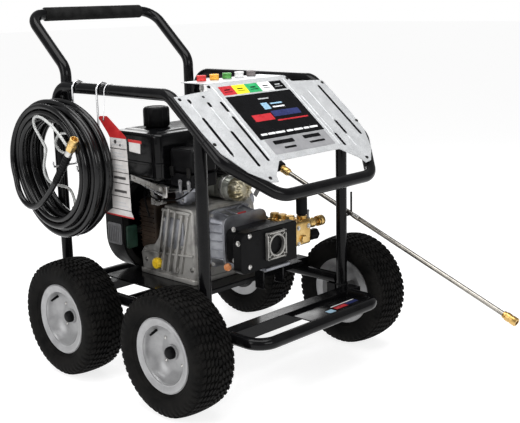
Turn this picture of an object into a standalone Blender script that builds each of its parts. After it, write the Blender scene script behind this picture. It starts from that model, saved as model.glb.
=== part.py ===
"""Petrol pressure washer: an engine and a triplex pump on a four-wheeled tube frame.

Metres, +Z up, the front towards -Y. Every shape is written in the machine's own
coordinates, whose origin lies on the ground midway between the four wheels. The
empty "machine" then moves them all so that the origin lies under the middle of
the bounding box.
"""

import math

import bmesh
import bpy
from mathutils import Matrix, Vector

GAP = 0.0003  # between neighbouring solids

# Wheels
TYRE_R = 0.165
TYRE_HALF_WIDTH = 0.063
HALF_TRACK = 0.355
HALF_WHEELBASE = 0.218
AXLE_R = 0.010
TYRE_SIDES = 24
RIM_SIDES = 16

# Tube frame
TUBE_R = 0.016
CAGE_X = 0.273
REAR_POST_Y = 0.355
FRONT_POST_Y = -0.247
TOP_Z = 0.801
SLOPE_START_Y = -0.1372
SLOPE = math.radians(39.2)
SIDE_END = 0.175  # how far down the slope a side tube ends and the front tube starts
RAIL_Z = 0.215
POST_FOOT_Z = 0.165
CROSSBAR_TOP_Z = 0.200
CROSSBAR_Y = (-0.305, -0.2635)
BUMPER_Z = 0.188
BUMPER_Y = -0.408
BUMPER_X = 0.240
BADGE_PLATE_X = (-0.020, 0.232)
PLATE_TOP_Z = 0.257

# Handle
HANDLE_X = 0.236
GRIP_Y = 0.525
GRIP_Z = 1.0006
GRIP_R = 0.0205
GRIP_HALF = 0.183

# Control panel: how far its sheet reaches, and its slots as (x, top, bottom) down the slope
PANEL_THICKNESS = 0.002
SHELF_HALF = 0.150
SHELF_BACK_Y = -0.045
SHELF_FRONT_DOWN = -0.0056
SLOTS = ((0.247, 0.045, 0.245), (0.193, 0.065, 0.286), (0.151, 0.080, 0.272))
SLOT_HALF_WIDTH = 0.003
NOZZLES = {"red": -0.098, "orange": -0.0505, "green": -0.003, "white": 0.0445, "grey": 0.092}
NOZZLE_Y = -0.070
NOZZLE_STEM_R = 0.0065

# Engine and pump, on one crank axis along Y
CRANK_X = -0.015
CRANK_Z = 0.380
CASE_Y = (-0.070, 0.170)
CASE_WALL = 0.012
SHAFT_R = 0.0125
STROKE = 0.056
CYLINDER_TILT = math.radians(22)
BORE_R = 0.0445
BORE_Y = 0.050
NECK_R = 0.028
PUMP_Y = (-0.250, -0.140)
HEAD_X = (0.0753, 0.150)
CAP_AT = (-0.106, 0.115)
FAN_Y = 0.200
HOUSING_BACK_Y = 0.255
AIR_CLEANER = ((-0.165, -0.100, 0.538), (-0.075, 0.003, 0.640))
LEVER_PIVOT_Z = 0.552
VALVE_CAP_Y = (-0.142, -0.172, -0.202)
VALVE_X = 0.100
UNLOADER_X = 0.135
UNLOADER_Z = 0.430
OUTLET_Y = -0.215
OUTLET_Z = 0.400
INLET_Z = 0.365
PORT_R = 0.0105

# Spray lance, lying in the plane x = LANCE_X
LANCE_X = 0.300
LANCE_START = (0.010, 0.5165)
LANCE_TILT = math.radians(21.35)
LANCE_LENGTH = 0.878
LANCE_R = 0.0068

# Hose
HOSE_R = 0.009
COIL_X = (-0.379, -0.2965)
COIL_CENTRE = (0.2615, 0.5855)
COIL_OUTER_R = 0.1975
COIL_INNER_R = 0.135
SIPHON_R = 0.004
HANGER_R = 0.0028
HANGER_Y = (0.136, 0.247)
HANGER_ARM_X = -0.372
HANGER_ARM_Z = 0.592
LEAD_ROUTE = [
    (-0.3945, 0.1405, 0.6375), (-0.3925, 0.1640, 0.6100), (-0.3905, 0.1900, 0.5830),
    (-0.3892, 0.2180, 0.5530), (-0.3888, 0.2480, 0.5240), (-0.3888, 0.2800, 0.4970),
    (-0.3888, 0.3150, 0.4740), (-0.3888, 0.3500, 0.4600),
]
SIPHON_ROUTE = [
    (-0.2885, 0.2750, 0.4085), (-0.2880, 0.2740, 0.4300), (-0.2885, 0.2760, 0.4600),
    (-0.2900, 0.2800, 0.4900), (-0.3000, 0.2850, 0.5150), (-0.3250, 0.2900, 0.5270),
    (-0.3480, 0.2970, 0.5360), (-0.3600, 0.3080, 0.5600), (-0.3620, 0.3080, 0.5900),
    (-0.3660, 0.2920, 0.6200), (-0.3760, 0.2720, 0.6420), (-0.3845, 0.2800, 0.6700),
    (-0.3850, 0.3050, 0.7000), (-0.3850, 0.3060, 0.7240), (-0.3850, 0.2750, 0.7290),
    (-0.3850, 0.2300, 0.7130), (-0.3850, 0.1900, 0.6880), (-0.3830, 0.1620, 0.6620),
    (-0.3700, 0.1600, 0.6450), (-0.3550, 0.1850, 0.6350), (-0.3450, 0.2200, 0.6290),
    (-0.3400, 0.2600, 0.6330), (-0.3350, 0.2850, 0.6520), (-0.3300, 0.2700, 0.6750),
    (-0.3250, 0.2350, 0.6800), (-0.3200, 0.2000, 0.6650), (-0.3150, 0.1850, 0.6400),
    (-0.3120, 0.1950, 0.6180),
]

# Half the depth of the bounding box runs from the lance's tip to the grip's back.
BOX_FRONT_Y = LANCE_START[0] - LANCE_LENGTH * math.cos(LANCE_TILT) - 0.0044 - 0.0005
BOX_BACK_Y = GRIP_Y + GRIP_R
ORIGIN_SHIFT_Y = -(BOX_FRONT_Y + BOX_BACK_Y) / 2

FINISHES = {
    # name: colour, roughness, metallic
    "black_frame": ((0.012, 0.012, 0.013), 0.28, 0.0),
    "foam": ((0.02, 0.02, 0.02), 0.85, 0.0),
    "silver_panel": ((0.62, 0.63, 0.64), 0.35, 0.6),
    "tyre": ((0.022, 0.022, 0.022), 0.8, 0.0),
    "grey_rim": ((0.33, 0.33, 0.34), 0.4, 0.3),
    "steel": ((0.55, 0.54, 0.52), 0.3, 1.0),
    "cast_aluminium": ((0.45, 0.45, 0.44), 0.45, 0.9),
    "brass": ((0.62, 0.42, 0.16), 0.3, 1.0),
    "black_plastic": ((0.015, 0.015, 0.016), 0.45, 0.0),
    "pump_black": ((0.018, 0.018, 0.018), 0.4, 0.2),
    "hose_rubber": ((0.02, 0.02, 0.02), 0.4, 0.0),
    "clear_vinyl": ((0.6, 0.62, 0.62), 0.2, 0.0),
    "yellow_plastic": ((0.75, 0.5, 0.02), 0.4, 0.0),
    "red_plastic": ((0.6, 0.02, 0.02), 0.4, 0.0),
    "orange_plastic": ((0.8, 0.35, 0.02), 0.4, 0.0),
    "green_plastic": ((0.03, 0.3, 0.06), 0.4, 0.0),
    "white_plastic": ((0.8, 0.8, 0.8), 0.4, 0.0),
    "grey_plastic": ((0.3, 0.3, 0.3), 0.5, 0.0),
}
SMOOTH_ANGLE = math.radians(38)


# ---------------------------------------------------------------- helpers


def clear_scene():
    for obj in list(bpy.data.objects):
        bpy.data.objects.remove(obj)


def finish(name):
    """The Principled BSDF material of this name."""
    if name in bpy.data.materials:
        return bpy.data.materials[name]
    colour, roughness, metallic = FINISHES[name]
    material = bpy.data.materials.new(name)
    material.use_nodes = True
    shader = material.node_tree.nodes["Principled BSDF"]
    shader.inputs["Base Color"].default_value = (*colour, 1)
    shader.inputs["Roughness"].default_value = roughness
    shader.inputs["Metallic"].default_value = metallic
    material.diffuse_color = (*colour, 1)
    return material


def piece(name, shape, look, at=(0, 0, 0), tilt=0.0):
    """Makes a closed bmesh an object with its origin at the point given, turned about X."""
    bmesh.ops.remove_doubles(shape, verts=shape.verts, dist=1e-6)
    bmesh.ops.recalc_face_normals(shape, faces=shape.faces)
    mesh = bpy.data.meshes.new(name)
    shape.to_mesh(mesh)
    shape.free()
    mesh.materials.append(finish(look))
    mesh.shade_smooth()
    mesh.set_sharp_from_angle(angle=SMOOTH_ANGLE)
    obj = bpy.data.objects.new(name, mesh)
    bpy.context.scene.collection.objects.link(obj)
    obj.location = at
    obj.rotation_euler.x = tilt
    obj.parent = bpy.data.objects["machine"]
    return obj


def boolean(obj, operation, others):
    for number, other in enumerate(others):
        other.name = f"{obj.name}_{operation.lower()}_{number}"
        other.hide_render = True
        other.display_type = "WIRE"
        modifier = obj.modifiers.new(other.name, "BOOLEAN")
        modifier.operation = operation
        modifier.solver = "EXACT"
        modifier.object = other
    return obj


def join(obj, *others):
    return boolean(obj, "UNION", others)


def cut(obj, *cutters):
    return boolean(obj, "DIFFERENCE", cutters)


def bevelled(obj, width, segments=1):
    """Rounds the edges of a mesh that no Boolean has touched yet."""
    modifier = obj.modifiers.new("rounded_edges", "BEVEL")
    modifier.width = width
    modifier.segments = segments
    modifier.limit_method = "ANGLE"
    modifier.angle_limit = SMOOTH_ANGLE
    return obj


def block(low, high):
    shape = bmesh.new()
    bmesh.ops.create_cube(shape, size=1)
    size = [b - a for a, b in zip(low, high)]
    middle = [(a + b) / 2 for a, b in zip(low, high)]
    bmesh.ops.scale(shape, verts=shape.verts, vec=size)
    bmesh.ops.translate(shape, verts=shape.verts, vec=middle)
    return shape


def prism(outline, axis, low, high):
    """An outline in the plane across the axis, extruded from low to high along it."""
    places = {
        "X": lambda a, b, along: (along, a, b),
        "Y": lambda a, b, along: (a, along, b),
        "Z": lambda a, b, along: (a, b, along),
    }
    place = places[axis]
    shape = bmesh.new()
    face = shape.faces.new([shape.verts.new(place(a, b, low)) for a, b in outline])
    grown = bmesh.ops.extrude_face_region(shape, geom=[face])["geom"]
    moved = [v for v in grown if isinstance(v, bmesh.types.BMVert)]
    bmesh.ops.translate(shape, verts=moved, vec=place(0, 0, high - low))
    return shape


def turned(section, axis, sides, closed=False, start=0.5):
    """A section of (radius, distance along the axis), spun about the axis.

    start turns the first side by that many sides, so that 0.5 lays a flat side
    across the far side of the circle.
    """
    shape = bmesh.new()
    verts = [shape.verts.new((radius, 0, along)) for radius, along in section]
    pairs = list(zip(verts, verts[1:]))
    if closed:
        pairs.append((verts[-1], verts[0]))
    edges = [shape.edges.new(pair) for pair in pairs]
    bmesh.ops.rotate(
        shape, verts=verts, cent=(0, 0, 0),
        matrix=Matrix.Rotation(start * 2 * math.pi / sides, 3, "Z"),
    )
    bmesh.ops.spin(
        shape, geom=verts + edges, cent=(0, 0, 0), axis=(0, 0, 1),
        angle=2 * math.pi, steps=sides,
    )
    bmesh.ops.remove_doubles(shape, verts=shape.verts, dist=1e-6)
    aim = Vector((0, 0, 1)).rotation_difference(Vector(axis)).to_matrix()
    bmesh.ops.rotate(shape, verts=shape.verts, cent=(0, 0, 0), matrix=aim)
    return shape


def rod(start, end, radius, sides=12):
    """A round bar between two points."""
    way = Vector(end) - Vector(start)
    shape = turned([(0, 0), (radius, 0), (radius, way.length), (0, way.length)], way, sides)
    bmesh.ops.translate(shape, verts=shape.verts, vec=start)
    return shape


def arc(centre, radius, first, last, steps):
    """Points on a circle between two angles in degrees."""
    angles = [math.radians(first + (last - first) * n / steps) for n in range(steps + 1)]
    return [(centre[0] + radius * math.cos(a), centre[1] + radius * math.sin(a)) for a in angles]


def rounded_box(low, high, radius, steps=3):
    """The outline of a rectangle with round corners."""
    left, bottom = low[0] + radius, low[1] + radius
    right, top = high[0] - radius, high[1] - radius
    outline = arc((right, top), radius, 0, 90, steps)
    outline += arc((left, top), radius, 90, 180, steps)
    outline += arc((left, bottom), radius, 180, 270, steps)
    return outline + arc((right, bottom), radius, 270, 360, steps)


def bent(corners, radius, step=math.radians(15)):
    """A path through the corners, each rounded by an arc of the radius."""
    points = [Vector(corner) for corner in corners]
    path = [points[0]]
    for before, corner, after in zip(points, points[1:], points[2:]):
        back = (before - corner).normalized()
        on = (after - corner).normalized()
        turn = math.pi - back.angle(on)
        reach = radius * math.tan(turn / 2)
        centre = corner + (back + on).normalized() * radius / math.cos(turn / 2)
        arm = corner + back * reach - centre
        spin_axis = back.cross(on)
        steps = max(2, round(turn / step))
        for n in range(steps + 1):
            angle = -turn * n / steps
            path.append(centre + Matrix.Rotation(angle, 3, spin_axis) @ arm)
    return path + [points[-1]]


def pipe(path, radius, sides=12):
    """A solid round bar along a path, made by a bevelled curve."""
    curve = bpy.data.curves.new("path", "CURVE")
    curve.dimensions = "3D"
    curve.bevel_depth = radius
    curve.bevel_resolution = sides // 2 - 2
    curve.use_fill_caps = True
    spline = curve.splines.new("POLY")
    spline.points.add(len(path) - 1)
    for point, place in zip(spline.points, path):
        point.co = (*place, 1)
    holder = bpy.data.objects.new("path", curve)
    mesh = bpy.data.meshes.new_from_object(holder)
    shape = bmesh.new()
    shape.from_mesh(mesh)
    bpy.data.objects.remove(holder)
    bpy.data.curves.remove(curve)
    bpy.data.meshes.remove(mesh)
    return shape


def smooth_path(route, count):
    """Evenly numbered points on a smooth curve through the route's points."""
    points = [Vector(point) for point in route]
    points = [2 * points[0] - points[1], *points, 2 * points[-1] - points[-2]]
    path = []
    spans = len(route) - 1
    for n in range(count + 1):
        at = min(n * spans / count, spans - 1e-9)
        span = int(at)
        t = at - span
        a, b, c, d = points[span : span + 4]
        path.append(
            0.5 * (2 * b + (c - a) * t + (2 * a - 5 * b + 4 * c - d) * t**2
                   + (3 * b - a - 3 * c + d) * t**3)
        )
    return path


def on_slope(x, down, lift=0.0):
    """A point on the plane of the sloped tubes: how far down it, and how far above it."""
    y = SLOPE_START_Y - down * math.cos(SLOPE) - lift * math.sin(SLOPE)
    z = TOP_Z - down * math.sin(SLOPE) + lift * math.cos(SLOPE)
    return (x, y, z)


# ---------------------------------------------------------------- frame


def cage_tube(side, name):
    foot = (side * CAGE_X, REAR_POST_Y, RAIL_Z + TUBE_R + GAP)
    corners = [
        foot,
        (side * CAGE_X, REAR_POST_Y, TOP_Z),
        (side * CAGE_X, SLOPE_START_Y, TOP_Z),
        on_slope(side * CAGE_X, SIDE_END),
    ]
    piece(name, pipe(bent(corners, 0.055), TUBE_R), "black_frame")


def front_tube():
    half = [(CAGE_X, SIDE_END + GAP), (CAGE_X, 0.245), (0.176, 0.377)]
    corners = [on_slope(-x, down) for x, down in half]
    corners += [on_slope(x, down) for x, down in reversed(half)]
    piece("front_tube", pipe(bent(corners, 0.058, math.radians(12)), TUBE_R), "black_frame")


def front_post(side, name):
    foot = (side * CAGE_X, FRONT_POST_Y, POST_FOOT_Z)
    head = (side * CAGE_X, FRONT_POST_Y, TOP_Z)
    post = piece(name, rod(foot, head, TUBE_R), "black_frame")
    x = side * CAGE_X
    slope = [on_slope(x, 0), on_slope(x, 0.3)]
    room = piece("room", pipe(slope, TUBE_R + GAP), "steel")
    over_slope = [on_slope(x, 0), on_slope(x, 0.3), on_slope(x, 0.3, 0.2), on_slope(x, 0, 0.2)]
    outline = [(y, z) for _, y, z in over_slope]
    above = piece("above", prism(outline, "X", x - 0.03, x + 0.03), "steel")
    return cut(post, room, above)


def lance_hook():
    """The wire hook on the right front post that carries the lance."""
    y = FRONT_POST_Y - 0.002
    radius = 0.0032
    arm_z = 0.4045
    out_x = LANCE_X + 0.0165
    corners = [(CAGE_X, y, arm_z), (out_x, y, arm_z), (out_x, y, 0.469)]
    return piece("hook", pipe(bent(corners, 0.007, math.radians(30)), radius, 8), "black_frame")


def base_frame():
    corners = [
        (-CAGE_X, FRONT_POST_Y + TUBE_R + GAP, RAIL_Z),
        (-CAGE_X, REAR_POST_Y, RAIL_Z),
        (CAGE_X, REAR_POST_Y, RAIL_Z),
        (CAGE_X, FRONT_POST_Y + TUBE_R + GAP, RAIL_Z),
    ]
    piece("base_frame", pipe(bent(corners, 0.03, math.radians(22.5)), TUBE_R), "black_frame")


def front_bumper():
    """The angle-iron crossbar, the bumper tube welded to it and the plate between them."""
    front, back = CROSSBAR_Y
    top = CROSSBAR_TOP_Z
    angle_iron = [
        (front, POST_FOOT_Z), (front + 0.004, POST_FOOT_Z), (front + 0.004, top - 0.004),
        (back, top - 0.004), (back, top), (front, top),
    ]
    reach = CAGE_X + TUBE_R
    bar = piece("front_bumper", prism(angle_iron, "X", -reach, reach), "black_frame")
    corners = [
        (-BUMPER_X, front + 0.002, BUMPER_Z), (-BUMPER_X, BUMPER_Y, BUMPER_Z),
        (BUMPER_X, BUMPER_Y, BUMPER_Z), (BUMPER_X, front + 0.002, BUMPER_Z),
    ]
    tube = piece("tube", pipe(bent(corners, 0.05), TUBE_R), "black_frame")
    low = (BADGE_PLATE_X[0], BUMPER_Y + 0.002, BUMPER_Z + 0.0005)
    high = (BADGE_PLATE_X[1], front + 0.002, BUMPER_Z + 0.0035)
    plate = piece("plate", block(low, high), "black_frame")
    join(bar, tube, plate)


def axle(name, y, bracket_y):
    reach = HALF_TRACK + 0.016
    bar = piece(name, rod((-reach, y, TYRE_R), (reach, y, TYRE_R), AXLE_R, 16), "steel")
    brackets = []
    for side in (-1, 1):
        low = (side * CAGE_X - 0.012, bracket_y[0], TYRE_R - 0.015)
        high = (side * CAGE_X + 0.012, bracket_y[1], RAIL_Z - TUBE_R - GAP)
        brackets.append(piece("bracket", block(low, high), "black_frame"))
    join(bar, *brackets)


def wheel(name, side, y):
    """A pneumatic tyre and a dished steel rim, both about the axle."""
    centre = (side * HALF_TRACK, y, TYRE_R)
    flat = 1 / math.cos(math.pi / TYRE_SIDES)  # so that the flat sides reach TYRE_R
    outer = [
        (0.0783, 0.0445), (0.1000, 0.0445), (0.1100, 0.0555), (0.1320, TYRE_HALF_WIDTH),
        (0.1560, 0.0545), (TYRE_R, 0.0400),
    ]
    inner = [(0.1520, 0.0380), (0.1300, 0.0530), (0.0783, 0.0340)]
    section = outer + [(r, -a) for r, a in reversed(outer)]
    section += [(r, -a) for r, a in reversed(inner)] + inner
    tyre_section = [(r * flat, a) for r, a in section]
    shape = turned(tyre_section, (side, 0, 0), TYRE_SIDES, closed=True)
    piece(f"tyre_{name}", shape, "tyre", centre)
    rim_section = [
        (0.0994, 0.0448), (0.0780, 0.0448), (0.0780, -0.0448), (0.0994, -0.0448),
        (0.0994, -0.0483), (0.0745, -0.0483), (0.0745, 0.0240), (0.0500, 0.0040),
        (0.0200, 0.0000), (0.0200, -0.0300), (0.0103, -0.0300), (0.0103, 0.0125),
        (0.0200, 0.0125), (0.0500, 0.0080), (0.0745, 0.0290), (0.0900, 0.0483), (0.0994, 0.0483),
    ]
    shape = turned(rim_section, (side, 0, 0), RIM_SIDES, closed=True)
    piece(f"rim_{name}", shape, "grey_rim", centre)


def engine_plate():
    top = PLATE_TOP_Z
    plate = piece("engine_plate", block((-0.235, -0.125, top - 0.0045), (0.235, 0.225, top)), "pump_black")
    bars = []
    reach = CAGE_X + TUBE_R
    for y in (-0.080, 0.170):
        low = (-reach, y - 0.02, RAIL_Z + TUBE_R + GAP)
        high = (reach, y + 0.02, top - 0.002)
        bars.append(piece("bar", block(low, high), "pump_black"))
    join(plate, *bars)


def handle():
    half = [
        (HANDLE_X, REAR_POST_Y + 0.001, 0.62), (HANDLE_X, REAR_POST_Y + 0.001, 0.850),
        (HANDLE_X, GRIP_Y, GRIP_Z),
    ]
    corners = [(-x, y, z) for x, y, z in half] + list(reversed(half))
    piece("handle_tube", pipe(bent(corners, 0.052, math.radians(18)), TUBE_R), "black_frame")
    ring = [
        (TUBE_R + GAP, 0), (GRIP_R, 0), (GRIP_R, 2 * GRIP_HALF), (TUBE_R + GAP, 2 * GRIP_HALF),
    ]
    grip = turned(ring, (1, 0, 0), 12, closed=True)
    piece("handle_grip", grip, "foam", (-GRIP_HALF, GRIP_Y, GRIP_Z))


# ---------------------------------------------------------------- panel and nozzles

def control_panel():
    """A folded sheet on the sloped tubes, with slots and a shelf that holds the nozzles."""
    lift = TUBE_R + GAP
    half = [
        (0.150, -0.0058), (0.160, 0.018), (0.283, 0.027), (0.283, 0.155), (0.276, 0.229),
        (0.240, 0.300), (0.196, 0.342), (0.172, 0.346), (0.163, 0.325), (0.118, 0.283),
    ]
    outline = [(x, -down) for x, down in half] + [(-x, -down) for x, down in reversed(half)]
    place = on_slope(0, 0, lift)
    flat = prism(outline, "Z", 0, PANEL_THICKNESS)
    sheet = piece("control_panel", flat, "silver_panel", place, SLOPE)
    bottom = TOP_Z + lift
    shelf_low = (-SHELF_HALF, on_slope(0, SHELF_FRONT_DOWN, lift)[1], bottom)
    shelf_high = (SHELF_HALF, SHELF_BACK_Y, bottom + PANEL_THICKNESS)
    join(sheet, piece("shelf", block(shelf_low, shelf_high), "silver_panel"))
    cutters = []
    for x, top, low in SLOTS:
        for side in (-1, 1):
            left, right = side * x - SLOT_HALF_WIDTH, side * x + SLOT_HALF_WIDTH
            slot = rounded_box((left, -low), (right, -top), SLOT_HALF_WIDTH - 0.0001, 2)
            cutter = prism(slot, "Z", -0.01, 0.01)
            cutters.append(piece("slot", cutter, "silver_panel", place, SLOPE))
    for x in NOZZLES.values():
        under, over = (x, NOZZLE_Y, bottom - 0.01), (x, NOZZLE_Y, bottom + 0.01)
        hole = rod(under, over, NOZZLE_STEM_R + 0.0007)
        cutters.append(piece("hole", hole, "silver_panel"))
    cut(sheet, *cutters)


def nozzles():
    """Push-in spray nozzles with coloured guards, each standing in a hole of the shelf."""
    seat = TOP_Z + TUBE_R + GAP + PANEL_THICKNESS + GAP
    section = [
        (0, -0.030), (0.0045, -0.030), (NOZZLE_STEM_R, -0.024), (NOZZLE_STEM_R, 0),
        (0.0125, 0), (0.0125, 0.020), (0.0105, 0.0225), (0, 0.0225),
    ]
    for colour, x in NOZZLES.items():
        shape = turned(section, (0, 0, 1), 12)
        piece(f"nozzle_{colour}", shape, f"{colour}_plastic", (x, NOZZLE_Y, seat))


# ---------------------------------------------------------------- engine


def along_cylinder(distance, side):
    """(x, z) at a distance from the crank along the cylinder's axis, and to its upper side."""
    c, s = math.cos(CYLINDER_TILT), math.sin(CYLINDER_TILT)
    return (CRANK_X + distance * c - side * s, CRANK_Z + distance * s + side * c)


def cylinder_rod(first, last, radius, sides=20):
    x0, z0 = along_cylinder(first, 0)
    x1, z1 = along_cylinder(last, 0)
    return rod((x0, BORE_Y, z0), (x1, BORE_Y, z1), radius, sides)


def crank_rod(first, last, radius, sides=16):
    return rod((CRANK_X, first, CRANK_Z), (CRANK_X, last, CRANK_Z), radius, sides)


def lobed(count, lobe):
    """A wavy outline: each lobe is (share of one lobe's angle, radius) pairs."""
    outline = []
    for n in range(count):
        for share, radius in lobe:
            angle = 2 * math.pi * (n + share) / count
            outline.append((radius * math.cos(angle), radius * math.sin(angle)))
    return outline


def crankcase():
    front, back = CASE_Y
    outline = [
        (-0.150, PLATE_TOP_Z + GAP), (0.115, PLATE_TOP_Z + GAP), along_cylinder(0.130, -0.052),
        along_cylinder(0.130, 0.052), (0.050, 0.466), (-0.060, 0.466), (-0.150, 0.405),
    ]
    case = bevelled(piece("crankcase", prism(outline, "Y", front, back), "cast_aluminium"), 0.008)
    room = block((-0.138, front + CASE_WALL, 0.285), (0.083, back - CASE_WALL, 0.448))
    sump = piece("sump", room, "cast_aluminium")
    bore = piece("bore", crank_rod(front - 0.01, back + 0.01, SHAFT_R + 0.001), "cast_aluminium")
    mouth = piece("mouth", cylinder_rod(0.080, 0.140, BORE_R + 0.001), "cast_aluminium")
    cut(case, sump, bore, mouth)


def cylinder():
    """The finned barrel and head, one casting with the bore open towards the crank."""
    core, tip = 0.040, 0.052
    fins = [(0.1303, 0.139)] + [(0.147 + 0.012 * n, 0.1515 + 0.012 * n) for n in range(6)]
    fins.append((0.225, 0.262))
    upper = []
    for start, end in fins:
        upper += [(start, core), (start, tip), (end, tip), (end, core)]
    upper = upper[1:-1]
    comb = upper + [(a, -h) for a, h in reversed(upper)]
    outline = [along_cylinder(a, h) for a, h in comb]
    comb_prism = prism(outline, "Y", BORE_Y - 0.070, BORE_Y + 0.070)
    barrel = piece("cylinder", comb_prism, "cast_aluminium")
    cut(barrel, piece("bore", cylinder_rod(0.12, 0.222, BORE_R), "cast_aluminium"))
    piece("piston", cylinder_rod(0.150, 0.196, BORE_R - 0.0006), "cast_aluminium")


def crankshaft():
    """The crank with its two webs, and the fan wheel on its rear end."""
    shaft = piece("crankshaft", crank_rod(-0.200, 0.030, SHAFT_R), "steel")
    tail = piece("tail", crank_rod(0.070, 0.240, SHAFT_R), "steel")
    webs = []
    for y in (0.028, 0.072):
        webs.append(piece("web", crank_rod(y - 0.008, y + 0.008, 0.043, 20), "steel"))
    pin_x = CRANK_X + STROKE / 2
    pin = piece("pin", rod((pin_x, 0.030, CRANK_Z), (pin_x, 0.070, CRANK_Z), 0.0105), "steel")
    join(shaft, *webs, pin, tail)
    outline = lobed(12, ((0, 0.105), (0.3, 0.105), (0.45, 0.072), (0.85, 0.072)))
    at = (CRANK_X, FAN_Y, CRANK_Z)
    fan = piece("flywheel_fan", prism(outline, "Y", -0.015, 0.015), "cast_aluminium", at)
    fan_bore = crank_rod(FAN_Y - 0.05, FAN_Y + 0.05, SHAFT_R + 2 * GAP)
    cut(fan, piece("fan_bore", fan_bore, "cast_aluminium"))


def fan_housing():
    """The shroud round the fan wheel, open towards the engine, with the recoil starter's cover."""
    front, back = CASE_Y[1] + 0.0005, HOUSING_BACK_Y
    low, high = (-0.205, PLATE_TOP_Z + 0.0006), (0.165, 0.545)
    wall = 0.003
    body = piece("fan_housing", prism(rounded_box(low, high, 0.11, 5), "Y", front, back), "black_plastic")
    room_low = (low[0] + wall, low[1] + wall)
    room_high = (high[0] - wall, high[1] - wall)
    room = prism(rounded_box(room_low, room_high, 0.11 - wall, 5), "Y", front - 0.01, back - wall)
    cover = crank_rod(back - 0.001, 0.290, 0.085, 24)
    cut(body, piece("room", room, "black_plastic"))
    join(body, piece("cover", cover, "black_plastic"))


def recoil_handle():
    at = (-0.050, 0.2906, 0.432)
    stub = turned([(0, 0), (0.004, 0), (0.004, 0.012), (0, 0.012)], (0, 1, 0), 8)
    grip = rod((-0.036, 0.017, 0), (0.036, 0.017, 0), 0.008, 10)
    handle_piece = piece("recoil_handle", stub, "black_plastic", at)
    join(handle_piece, piece("grip", grip, "black_plastic", at))


def fuel_tank():
    low, high = (-0.200, 0.005, 0.5455), (0.200, 0.205, 0.685)
    wall = 0.004
    tank = bevelled(piece("fuel_tank", block(low, high), "black_plastic"), 0.012, 2)
    inside = block([a + wall for a in low], [b - wall for b in high])
    inside = bevelled(piece("inside", inside, "black_plastic"), 0.008, 2)
    top = high[2]
    neck = piece("neck", rod((*CAP_AT, top - 0.002), (*CAP_AT, top + 0.009), NECK_R), "black_plastic")
    mouth = rod((*CAP_AT, top - 0.02), (*CAP_AT, top + 0.02), NECK_R - wall)
    cut(join(tank, neck), inside, piece("mouth", mouth, "black_plastic"))
    outline = lobed(8, ((0, 0.0375), (0.35, 0.0375), (0.5, 0.0335), (0.85, 0.0335)))
    bottom = top + 0.002
    cap = piece("fuel_cap", prism(outline, "Z", 0, 0.056), "black_plastic", (*CAP_AT, bottom))
    skirt = rod((*CAP_AT, bottom - 0.01), (*CAP_AT, bottom + 0.0075), NECK_R + 0.0015)
    cut(cap, piece("skirt", skirt, "black_plastic"))


def intake_and_exhaust():
    bevelled(piece("air_cleaner", block(*AIR_CLEANER), "black_plastic"), 0.014, 2)
    section = [(0, 0), (0.024, 0), (0.030, 0.006), (0.030, 0.129), (0.024, 0.135), (0, 0.135)]
    piece("muffler", turned(section, (0, -1, 0), 20), "steel", (0.020, 0.020, 0.510))


def lever(name, y, length, look):
    """A flat lever on the left side of the air cleaner, on a pivot along X."""
    at = (AIR_CLEANER[0][0] - GAP, y, LEVER_PIVOT_Z)
    outline = arc((0, 0), 0.007, 0, 180, 4) + [(-0.003, -length), (0.003, -length)]
    piece(name, prism(outline, "X", -0.004, 0), look, at)


def small_controls():
    lever("throttle_lever", -0.045, 0.030, "grey_plastic")
    lever("choke_lever", -0.080, 0.024, "grey_plastic")
    knob = [(0, 0), (0.011, 0), (0.011, 0.012), (0, 0.012)]
    at = (-0.135, HOUSING_BACK_Y + GAP, 0.495)
    piece("engine_switch", turned(knob, (0, 1, 0), 12), "red_plastic", at)
    cap = [(0, 0), (0.009, 0), (0.013, 0.004), (0.013, 0.018), (0.011, 0.020), (0, 0.020)]
    at = (-0.150 - GAP, 0.078, 0.300)
    piece("oil_cap", turned(cap, (-1, 0, 0), 12), "yellow_plastic", at)


# ---------------------------------------------------------------- pump


def bell_housing():
    front, back = PUMP_Y[1] + GAP, CASE_Y[0] - GAP
    flange = 0.009
    section = [
        (0.048, back), (0.086, back), (0.086, back - flange), (0.070, back - flange - 0.004),
        (0.070, front + flange + 0.004), (0.082, front + flange), (0.082, front), (0.048, front),
    ]
    shape = turned(section, (0, 1, 0), 20, closed=True)
    piece("bell_housing", shape, "cast_aluminium", (CRANK_X, 0, CRANK_Z))


def pump():
    front, back = PUMP_Y
    rear_part = block((-0.092, -0.205, 0.322), (0.075, back, 0.440))
    case = bevelled(piece("pump_crankcase", rear_part, "pump_black"), 0.008)
    front_part = block((-0.145, front, 0.320), (0.075, -0.200, 0.430))
    face = bevelled(piece("face", front_part, "pump_black"), 0.010)
    bore = piece("bore", crank_rod(front - 0.01, back + 0.01, 0.027), "pump_black")
    cut(join(case, face), bore)
    half = 0.0375
    low, high = (CRANK_X - half, CRANK_Z - half), (CRANK_X + half, CRANK_Z + half)
    plate = prism(rounded_box(low, high, 0.008, 2), "Y", front - GAP - 0.010, front - GAP)
    cover = piece("pump_cover", plate, "cast_aluminium")
    cut(cover, piece("cover_hole", crank_rod(front - 0.02, front + 0.01, 0.0265), "cast_aluminium"))
    shaft = piece("pump_shaft", crank_rod(front + 0.004, -0.200 - GAP, 0.0120), "steel")
    lobe_x = CRANK_X + 0.005
    lobe = rod((lobe_x, -0.236, CRANK_Z), (lobe_x, -0.214, CRANK_Z), 0.018, 16)
    join(shaft, piece("lobe", lobe, "steel"))


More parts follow.
